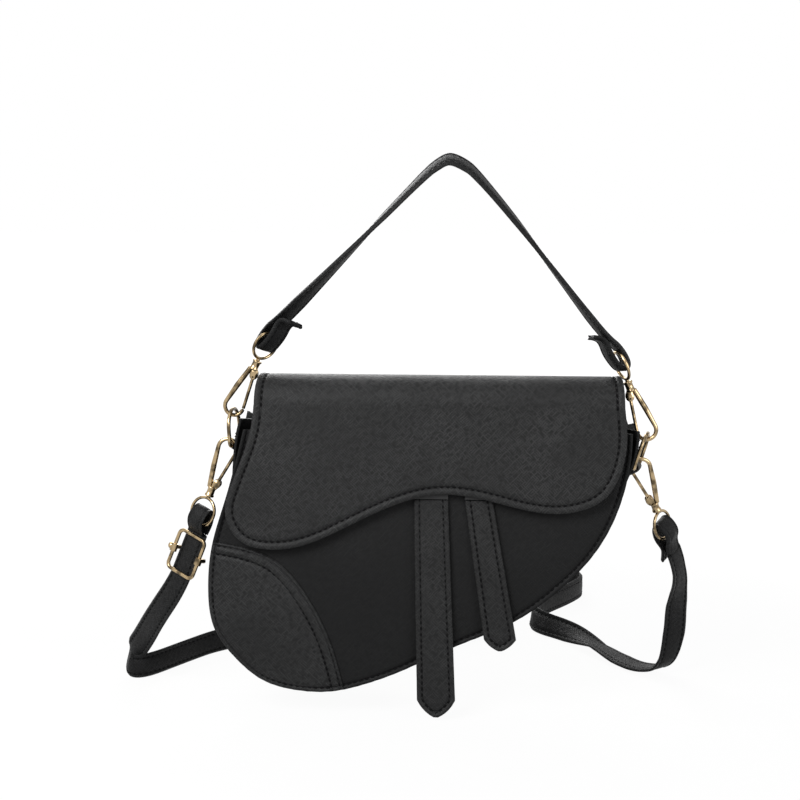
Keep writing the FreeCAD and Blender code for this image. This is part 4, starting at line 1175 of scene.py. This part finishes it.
class SADDLEBAG_OT_body(BagOperator):
    """Front and back panels, seam welts, gusset, corner patch and lining"""
    bl_idname = "saddlebag.body"
    bl_label = "Body"

    PANEL_COLUMNS = 72
    FRONT_ROWS = 56
    BACK_ROWS = 60
    BACK_TOP = 173.4
    BACK_TOP_SHARE = 0.435
    PANEL_EDGE = 0.85
    SEAM_ENDS = slice(6, -6)
    WELT = 1.4
    WELT_SPAN = (0.4, 6.0)
    WELT_GRID = (220, 4, 0.7)
    WELT_EDGE = 0.65
    PATCH = 1.2
    PATCH_EDGE = 0.6
    PATCH_INSET = 0.4
    PATCH_EDGE_POINTS = 200
    PATCH_GRID = (70, 34, GRID_EDGE)
    PATCH_SEAMS = (1.6, 6.4)
    PATCH_SEAM_CLEAR = 3.0
    PATCH_RUN_ENDS = slice(8, -8)
    GUSSET_STEPS = np.concatenate(
        ((-1, -0.985, -0.95), np.linspace(-0.88, 0.88, 25), (0.95, 0.985, 1)))
    GUSSET_HALF = 20.0
    HEM_ROWS = (3, 4, -4, -6)
    HEM_ENDS = slice(2, -2)
    POUCH_INSET = 6.4
    POUCH_GAP = 1.0
    POUCH_CLOTH = 0.6
    POUCH_POINTS = 220
    POUCH_STEPS = np.linspace(-1, 1, 23)
    POUCH_GRID = (40, 30, 0.5)

    def execute(self, context):
        self.panels()
        self.welts()
        self.patch()
        self.gusset()
        self.lining()
        return {"FINISHED"}

    def panels(self):
        s = sizes()
        outline = panel_outline()
        line = inset(outline, s.panel_seam)[self.SEAM_ENDS]
        corner = self.BACK_TOP_SHARE * s.body_width
        ring = np.vstack(((-corner, self.BACK_TOP), outline, (corner, self.BACK_TOP)))
        for name, side, edge, rounded, rows, swell in (
                ("front_panel", -1, outline, [outline, outline[[0, -1]]], self.FRONT_ROWS,
                 front_swell),
                ("back_panel", 1, ring, [ring], self.BACK_ROWS, back_swell)):
            place = on_panel(0, side)
            grid = lobe_grid(edge, panel_points(PANEL_CORNERS), self.PANEL_COLUMNS, rows, GRID_EDGE)
            skin = plate(f"{name}_skin", grid, rounded, place, s.panel, finish("panel"),
                         self.PANEL_EDGE, swell, [([outline], s.panel_seam)])
            hand_over(skin, "bag", name)
            row = place(line, s.panel + swell(line) - THREAD_SINK)
            sew(f"{name}_stitches", [row], "bag")

    def welts(self):
        outline = panel_outline()
        outer, inner = (inset(outline, reach) for reach in self.WELT_SPAN)
        grid = strip_grid(outer, inner, *self.WELT_GRID)
        for name, side in (("front_welt", -1), ("back_welt", 1)):
            welt = plate(f"{name}_skin", grid, [outer], on_panel(-self.WELT, side), self.WELT,
                         finish("smooth"), self.WELT_EDGE)
            hand_over(welt, "bag", name)

    def patch(self):
        """The patch on the rounded corner, sewn twice along its edge and once along the panel's."""
        s = sizes()
        outline = panel_outline()
        first, last = nearest(outline, along(panel_points(PANEL_SHARES), PATCH_RUN))
        run = inset(outline, self.PATCH_INSET)[first:last + 1]
        edge = spline([run[0], *panel_points(PATCH_EDGE_SHARES), run[-1]], self.PATCH_EDGE_POINTS)
        run_seam = s.panel_seam - self.PATCH_INSET
        seams = [([edge], gap) for gap in self.PATCH_SEAMS] + [([run], run_seam)]
        lines = [inset(edge, -gap)[self.SEAM_ENDS] for gap in self.PATCH_SEAMS]
        lines = [line[gap_to(line, [run]) > self.PATCH_SEAM_CLEAR] for line in lines]
        lines.append(inset(run, run_seam)[self.PATCH_RUN_ENDS])
        place = on_panel(s.panel)
        patch = plate("corner_patch_skin", strip_grid(edge, run, *self.PATCH_GRID), [edge, run],
                      place, self.PATCH, finish("leather"), self.PATCH_EDGE, front_swell, seams)
        hand_over(patch, "bag", "corner_patch")
        rows = [place(line, self.PATCH - THREAD_SINK + front_swell(line)) for line in lines]
        sew("corner_patch_stitches", rows, "bag")

    def gusset(self):
        """The side strip: flared at its tops, folded inwards between the panels."""
        path, normal, rise = gusset_path()
        low_edge = path[:, 1] + np.maximum(0, normal[:, 1]) * (gusset_edge(rise) + GUSSET_SKIN)
        depth = seam_depth(low_edge) - GUSSET_SKIN / math.cos(tilt())
        across = self.GUSSET_STEPS
        skins = []
        for skin in (0.0, GUSSET_SKIN):
            flat = path[:, None] + normal[:, None] * (gusset_reach(rise, across) + skin)[..., None]
            skins.append(np.stack((flat[..., 0], across[None] * depth[:, None], flat[..., 1]), -1))
        shape = skins[0].shape[:2]
        verts = np.concatenate([skin.reshape(-1, 3) for skin in skins])
        run = np.broadcast_to(lengths(path)[:, None], shape)
        flat = np.stack((run, np.broadcast_to(across * self.GUSSET_HALF, shape)), -1)
        uvs = np.concatenate((flat.reshape(-1, 2),) * 2)
        piece = new_piece("gusset_skin", verts, shell_faces(*shape), uvs, finish("panel"))
        hand_over(piece, "bag", "gusset")
        sew("gusset_stitches", [skins[0][row][self.HEM_ENDS] for row in self.HEM_ROWS], "bag")

    def lining(self):
        """An open pouch: a strip round its bottom and sides, a front wall and a back wall."""
        outline = inset(panel_outline(self.POUCH_POINTS), self.POUCH_INSET)
        skins = []
        for cloth in (0.0, self.POUCH_CLOTH):
            path = inset(outline, cloth)
            strip = np.repeat(path[:, None], len(self.POUCH_STEPS), axis=1)
            quarter = len(path) // 4
            left, bottom, right = np.split(path, (quarter, 3 * quarter))
            wall = ladder_grid(left, right[::-1], bottom, *self.POUCH_GRID)
            skins.append([self.pouch(flat, across, cloth) for flat, across in
                          ((strip, self.POUCH_STEPS), (wall, -1.0), (wall, 1.0))])
        parts, uvs = [], []
        for outer, inner, axes in zip(*skins, ((1, 2), (0, 2), (0, 2))):
            points = np.concatenate((outer.reshape(-1, 3), inner.reshape(-1, 3)))
            parts.append((points, shell_faces(*outer.shape[:2])))
            uvs += [outer[..., axes].reshape(-1, 2)] * 2
        verts, faces = joined(parts)
        piece = new_piece("lining_pouch", verts, faces, np.concatenate(uvs), finish("lining"))
        hand_over(piece, "bag", "lining", slot="lining_cloth")

    def pouch(self, flat, across, cloth):
        """Flat points set off to a share of the pouch's depth."""
        depth = across * (seam_depth(flat[..., 1]) - self.POUCH_GAP - cloth)
        return np.stack((flat[..., 0], depth, flat[..., 1]), -1)


class SADDLEBAG_OT_flap(BagOperator):
    """Crown, flap, flap lining and their stitches"""
    bl_idname = "saddlebag.flap"
    bl_label = "Flap"

    # from the hinge, backwards and up: where the fold starts to bend and where it ends
    BEND_START = (0.0, 3.2, 7.5)
    BEND_END = (0.0, -1.0, -7.5)
    # the crown's left and right edge at shares of its arc
    CROWN_SHARES = (1.0, 0.8, 0.5, 0.0)
    CROWN_SIDES = ((-102.1, -101.9, -101.0, -99.5), (101.7, 101.4, 100.6, 99.5))
    CROWN_POINTS = 60
    CROWN_GRID = (60, 40, GRID_EDGE)
    CROWN_EDGE = 0.9
    FLAP_GRID = (80, 48)
    FLAP_EDGE = 0.8
    LINING_INSET = 0.8
    LINING_GRID_EDGE = 0.6
    LINING_EDGE = 0.45
    SEAM_ENDS = slice(8, -8)
    # height, middle and spread of each ripple across the flap, and the lengths where they grow
    RIPPLES = ((0.9, -85.0, 38.0), (0.72, 70.0, 30.0), (0.7, 42.0, 13.0), (-0.49, 20.0, 18.0))
    RIPPLES_GROW = (8.0, 60.0)

    def execute(self, context):
        rows = [*self.crown(), self.flap()]
        self.bend(stitches("flap_stitches", rows))
        return {"FINISHED"}

    def bend(self, piece):
        """Bakes a piece's transform into its mesh; the hinge's two ends are worked out but not used.
        """
        start, end = (tuple(metres(np.array(place) + (0.0, *hinge())))
                      for place in (self.BEND_START, self.BEND_END))
        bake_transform(piece)

    def fold(self, piece, node):
        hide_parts(node)
        self.bend(piece)

    def crown(self):
        """The fold over the top; gives its rows of stitches."""
        s = sizes()
        arc = CROWN["radius"] * (math.pi - s.flap_tilt - tilt())
        left, right = (spline([(x, arc * share) for x, share in zip(side, self.CROWN_SHARES)],
                              self.CROWN_POINTS) for side in self.CROWN_SIDES)
        grid = ladder_grid(left, right, np.stack((left[-1], right[-1])), *self.CROWN_GRID)
        crown = plate("crown_skin", grid, [left, right], on_crown, FLAP_SHELL, finish("leather"),
                      self.CROWN_EDGE, None, [([left, right], s.seam_inset)])
        self.fold(crown, "crown")
        return [on_crown(side + (shift, 0.0), FLAP_SHELL - THREAD_SINK)
                for side, shift in ((left, s.seam_inset), (right, -s.seam_inset))]

    def flap(self):
        """The flap and its lining; gives the flap's row of stitches."""
        s = sizes()
        edge = spline(flap_points(FLAP_SHARES), OUTLINE_POINTS)
        corners = flap_points(FLAP_CORNERS)
        place = on_flap(FLAP_LEATHER)
        flap = plate("flap_skin", lobe_grid(edge, corners, *self.FLAP_GRID, GRID_EDGE), [edge],
                     place, FLAP_LEATHER, finish("leather"), self.FLAP_EDGE, self.swell,
                     [([edge], s.seam_inset)])
        self.fold(flap, "flap")
        inner = inset(edge, self.LINING_INSET)
        grid = lobe_grid(inner, corners, *self.FLAP_GRID, self.LINING_GRID_EDGE)
        lining = plate("flap_lining_skin", grid, [inner], on_flap(FLAP_SHELL), FLAP_LINING,
                       finish("smooth"), self.LINING_EDGE, self.swell)
        self.fold(lining, "flap_lining")
        line = inset(edge, s.seam_inset)[self.SEAM_ENDS]
        return place(line, FLAP_LEATHER + self.swell(line) - THREAD_SINK)

    def swell(self, points):
        """Soft ripples of the flap: fuller lobes, and a shallow fold beside the right one."""
        x, down = points[..., 0], -points[..., 1]
        ripples = sum(height * hump(x, middle, spread) for height, middle, spread in self.RIPPLES)
        return smoothstep(*self.RIPPLES_GROW, down) * ripples


class SADDLEBAG_OT_tails(BagOperator):
    """The two leather tails and their roots under the flap"""
    bl_idname = "saddlebag.tails"
    bl_label = "Tails"

    TOP = 122.5
    LEATHER = 2.0
    GAP = 0.3
    SEAM = 2.9
    EDGE = 0.9
    GRID = (12, 60, GRID_EDGE)
    SIDE_POINTS = 60
    SEAM_POINTS = 260
    SWELL = BULGE + 0.05
    SWELL_FADES = (85.0, 121.0)
    POINTED = 0.5
    TAILS = {
        # middle at the top, lean, width at the top and the end, length, depth of the tip
        "left": (-3.6, 3.6, 18.8, 21.2, 121.6, 10.2),
        "right": (22.7, 12.4, 15.4, 17.7, 83.4, 6.8),
    }
    ROOT = 1.2
    ROOT_GAP = 0.2
    ROOT_ABOVE = 1.2
    ROOT_LENGTH = 15.0
    ROOT_EDGE = 0.5
    ROOT_GRID = (8, 8, 0.5)

    def execute(self, context):
        for side, (middle, lean, wide, low_wide, length, tip) in self.TAILS.items():
            self.tail(side, middle, middle + lean, wide, low_wide, self.TOP - length, tip)
            self.root(side, middle, wide)
        return {"FINISHED"}

    def tail(self, side, middle, low_middle, wide, low_wide, end, tip):
        node = f"{side}_tail"
        left, right = (np.array(((middle + way * wide / 2, self.TOP),
                                 (low_middle + way * low_wide / 2, end + tip))) for way in (-1, 1))
        bow = self.arc(left[1], (low_middle, end), right[1])
        grid = ladder_grid(left, right, bow, *self.GRID)
        ring = np.vstack((left, bow, right[::-1]))
        sides = [even(side, self.SIDE_POINTS) for side in (left, right[::-1])]
        line = inset(even(np.vstack((sides[0], bow, sides[1])), self.SEAM_POINTS), self.SEAM)
        place = on_panel(sizes().panel + self.GAP)
        tail = plate(f"{node}_skin", grid, [ring], place, self.LEATHER, finish("leather"),
                     self.EDGE, self.swell, [([ring], self.SEAM)])
        hand_over(tail, node, node)
        row = place(line, self.LEATHER + self.swell(line) - THREAD_SINK)
        sew(f"{node}_stitches", [row], node)

    def arc(self, a, tip, b):
        """A tail's end, between a round arc and a straight-sided point."""
        a, tip, b = (np.asarray(p, float) for p in (a, tip, b))
        system = 2 * np.array((tip - a, b - a))
        centre = np.linalg.solve(system, np.array((tip @ tip - a @ a, b @ b - a @ a)))
        first, last = (math.atan2(*(p - centre)[::-1]) for p in (a, b))
        first = first - 2 * math.pi if first > last else first
        angles = np.linspace(first, last, self.SIDE_POINTS)
        reach = np.linalg.norm(a - centre)
        bow = centre + reach * np.stack((np.cos(angles), np.sin(angles)), 1)
        point = even(np.stack((a, tip, b)), self.SIDE_POINTS)
        return bow + (point - bow) * self.POINTED

    def swell(self, points):
        return self.SWELL * (1 - smoothstep(*self.SWELL_FADES, points[..., 1]))

    def root(self, side, middle, wide):
        """The strip that holds a tail under the flap."""
        node = f"{side}_tail_root"
        low = (self.TOP + self.ROOT_ABOVE - hinge()[1]) / math.cos(sizes().flap_tilt)
        high = low + self.ROOT_LENGTH
        left = np.array(((middle - wide / 2, high), (middle - wide / 2, low)))
        right = left + (wide, 0)
        grid = ladder_grid(left, right, np.stack((left[1], right[1])), *self.ROOT_GRID)
        ring = np.vstack((left, right[::-1], left[:1]))
        root = plate(f"{node}_skin", grid, [ring], on_flap(FLAP_SHELL + self.ROOT_GAP + self.ROOT),
                     self.ROOT, finish("smooth"), self.ROOT_EDGE)
        hand_over(root, "flap", node)


class SADDLEBAG_OT_tabs(BagOperator):
    """The folded leather tabs that hold the rings"""
    bl_idname = "saddlebag.tabs"
    bl_label = "Ring tabs"

    # the two layers' distances from the gusset, and how much further they stand at its folded top
    LAYERS = (0.8, 2.0)
    LIFT = 1.3
    WRAP = 1.9
    WRAP_TURNS = np.radians(np.linspace(-60, 240, 16))
    LEATHER = 1.1
    EDGE = 0.5
    WIDTH = 8.4
    SEAT_POINTS = 6
    TAB_POINTS = 90
    FOOT_LIFT = 1.0
    BAR_GAP = 6.0
    # the heights above the foot and below the bar between which the tab turns to the bar
    TURN_FROM = 6.0
    TURN_TO = 3.0
    # the middle of each ring's bar, and the bar's turn in degrees
    RINGS = {"left": ((-115.95, 0.0, 149.03), -6.0), "right": ((109.95, 0.0, 138.67), -14.0)}

    def execute(self, context):
        for side in self.RINGS:
            node = f"{side}_tab"
            low = np.asarray(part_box(node)[0], float) / MM + GRIP
            hand_over(self.folded(side, low[2]), "bag", node)
        return {"FINISHED"}

    def folded(self, side, foot):
        """A tab from its foot up the side strip, round the ring's bar and back down."""
        bar, turn = self.RINGS[side]
        bar, turn = np.array(bar), math.radians(turn)
        sign = -1 if side == "left" else 1
        path, normal, rise = gusset_path()
        middle = path + normal * gusset_reach(rise, np.zeros(1))
        third = len(path) // 3
        rows = np.arange(third)[::-1] if side == "left" else np.arange(-third, 0)
        heights = np.linspace(foot + self.FOOT_LIFT, bar[2] - self.BAR_GAP, self.SEAT_POINTS)
        seat = np.interp(heights, middle[rows, 1], middle[rows, 0])
        lift = self.LIFT * np.interp(heights, middle[rows, 1], rise[rows])
        inner, outer = ([np.array((x + sign * (gap + up), 0.0, z))
                         for x, up, z in zip(seat, lift, heights)] for gap in self.LAYERS)
        wrap = [bar + self.WRAP * np.array((math.cos(a), 0, math.sin(a)))
                for a in self.WRAP_TURNS[::-sign]]
        line = spline(inner + wrap + outer[::-1], self.TAB_POINTS)
        share = smoothstep(foot + self.TURN_FROM, bar[2] - self.TURN_TO, line[:, 2])[:, None]
        along_bar = np.array((-math.sin(turn), math.cos(turn), 0.0))
        across = share * along_bar + (1 - share) * np.array((0.0, 1.0, 0.0))
        return ribbon(f"{side}_tab_skin", line, across, self.WIDTH, self.LEATHER, finish("smooth"),
                      self.EDGE)


class SADDLEBAG_OT_hooks(BagOperator):
    """Frames of the four swivel snap hooks: barrel, forged wire and the gate's cheeks"""
    bl_idname = "saddlebag.hooks"
    bl_label = "Snap hooks"

    # radius and height: outside from the barrel's floor up to its mouth, then down the chamber
    BARREL = ((2.2, -3.0), (2.65, -2.75), (2.7, -2.3), (2.6, -1.9), (2.25, -1.6), (2.2, 0.0),
              (2.25, 1.6), (2.6, 1.9), (2.7, 2.3), (2.65, 2.75), (2.2, 3.0), (1.4, 3.0),
              (1.2, 2.8), (1.2, 1.0), (1.8, 1.0), (1.8, -2.0))
    CHEEK = ((-0.5, -2.4), (-0.5, -5.4), (0.2, -7.3), (1.9, -8.1), (3.6, -7.3), (4.2, -5.6),
             (3.7, -3.9), (2.5, -2.4))
    CHEEK_POINTS = 72
    CHEEK_FACES = (1.0, 1.9)
    CHEEK_BEVEL = 0.35
    ROOF = ((-0.4, -1.2), (2.6, -1.2), (2.6, 1.2), (-0.4, 1.2))
    ROOF_HEIGHTS = (-3.8, -2.6)
    WIRE = 1.2
    WIRE_TOP = (-1.42, -2.5)
    WIRE_SIDES = 16
    WIRE_POINTS = 110
    BOW_POINTS = 60
    TIP = 0.9
    TIP_LEAST = 0.02
    BOW = 5.3
    REACH = 26.6
    NOSE = math.radians(370.0)
    # half width in the hook's plane and across it, at shares of the wire's length
    FORGING = ((0.0, 1.45, 1.35), (0.3, 1.6, 1.4), (0.52, 1.3, 1.2), (0.66, 1.15, 1.15),
               (1.0, 1.1, 1.05))

    def execute(self, context):
        points, faces = joined((lathe(self.BARREL), self.wire(), self.cheek(1), self.cheek(-1),
                                self.roof()))
        for name in HOOKS:
            node = f"{name}_hook"
            place, *axes = hook_axes(name)
            verts = place + points @ np.stack(axes)
            piece = new_piece(f"{node}_frame", verts, faces, verts[:, :2], finish("gold"))
            hand_over(piece, node, node, slot="hardware")
        return {"FINISHED"}

    def wire(self):
        """The wire from the barrel down its spine and round the bow, thicker along the spine."""
        start = np.array(self.WIRE_TOP)
        centre = np.array((0.0, -self.REACH))
        across = start - centre
        touch = math.atan2(across[1], across[0]) + math.acos(self.BOW / np.linalg.norm(across))
        angles = np.linspace(touch, self.NOSE, self.BOW_POINTS)
        bow = centre + self.BOW * np.stack((np.cos(angles), np.sin(angles)), 1)
        line = even(np.vstack((start, bow)), self.WIRE_POINTS)
        shares = np.linspace(0, 1, len(line))
        at, wides, deeps = np.array(self.FORGING).T
        left = lengths(line)[-1] * (1 - shares)
        tip = np.sqrt(np.clip(1 - np.clip(1 - left / self.TIP, 0, 1) ** 2, self.TIP_LEAST, 1))
        turn = round_steps(self.WIRE_SIDES)
        loops = []
        for point, inwards, share, small in zip(line, inner_normals(line), shares, tip):
            wide, deep = np.interp(share, at, wides), np.interp(share, at, deeps)
            middle = point - inwards * (wide - self.WIRE)
            flat = middle + inwards * (np.cos(turn) * wide * small)[:, None]
            loops.append(np.stack((flat[:, 0], np.sin(turn) * deep * small, flat[:, 1]), 1))
        return stacked(loops)

    def cheek(self, sign):
        """One of the two plates beside the gate, bevelled outside."""
        closed = spline(self.CHEEK + self.CHEEK[:1], self.CHEEK_POINTS)
        outline = even(closed, self.CHEEK_POINTS + 1)[:-1]
        small = outline - unit(outline - outline.mean(0)) * self.CHEEK_BEVEL
        low, high = (sign * face for face in self.CHEEK_FACES)
        levels = ((outline, low), (outline, high - sign * self.CHEEK_BEVEL), (small, high))
        return stacked([np.insert(flat, 1, depth, axis=1) for flat, depth in levels])

    def roof(self):
        """The bridge between the cheeks, under the barrel."""
        return stacked([np.insert(self.ROOF, 2, height, axis=1) for height in self.ROOF_HEIGHTS])


class SADDLEBAG_OT_hardware(BagOperator):
    """Gold plating for rings, gates, eyes, the slide adjuster and the magnetic snap"""
    bl_idname = "saddlebag.hardware"
    bl_label = "Hardware"

    NODES = ("left_d_ring", "right_d_ring", "slider_frame", "slider_bar", "snap_socket",
             "snap_stud")
    HOOK_NODES = ("gate", "pin", "eye")

    def execute(self, context):
        of_hooks = [f"{hook}_{piece}" for hook in HOOKS for piece in self.HOOK_NODES]
        for node in (*self.NODES, *of_hooks):
            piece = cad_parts[node]
            piece.data.materials.clear()
            piece.data.materials.append(finish("gold"))
        return {"FINISHED"}


class SADDLEBAG_PT_panel(bpy.types.Panel):
    """The bag's sizes, colours and pieces"""
    bl_idname = "SADDLEBAG_PT_panel"
    bl_label = "Saddle Handbag"
    bl_space_type = "VIEW_3D"
    bl_region_type = "UI"
    bl_category = "Handbag"

    def draw(self, context):
        for group in (context.scene.bag_sizes, context.scene.bag_colours):
            column = self.layout.column()
            for key in group.bl_rna.properties.keys():
                if key not in ("rna_type", "name"):
                    column.prop(group, key)
        for operator in OPERATORS:
            self.layout.operator(operator.bl_idname)


OPERATORS = (
    SADDLEBAG_OT_view, SADDLEBAG_OT_strap, SADDLEBAG_OT_handle, SADDLEBAG_OT_body,
    SADDLEBAG_OT_flap, SADDLEBAG_OT_tails, SADDLEBAG_OT_tabs, SADDLEBAG_OT_hooks,
    SADDLEBAG_OT_hardware,
)
CLASSES = (BagSizes, BagColours, *OPERATORS, SADDLEBAG_PT_panel)


def register():
    for kind in CLASSES:
        bpy.utils.register_class(kind)
    bpy.types.Scene.bag_sizes = bpy.props.PointerProperty(type=BagSizes)
    bpy.types.Scene.bag_colours = bpy.props.PointerProperty(type=BagColours)


def unregister():
    del bpy.types.Scene.bag_colours
    del bpy.types.Scene.bag_sizes
    for kind in reversed(CLASSES):
        bpy.utils.unregister_class(kind)


def main():
    register()
    for operator in OPERATORS:
        group, name = operator.bl_idname.split(".")
        getattr(getattr(bpy.ops, group), name)()


if __name__ == "__main__":
    main()
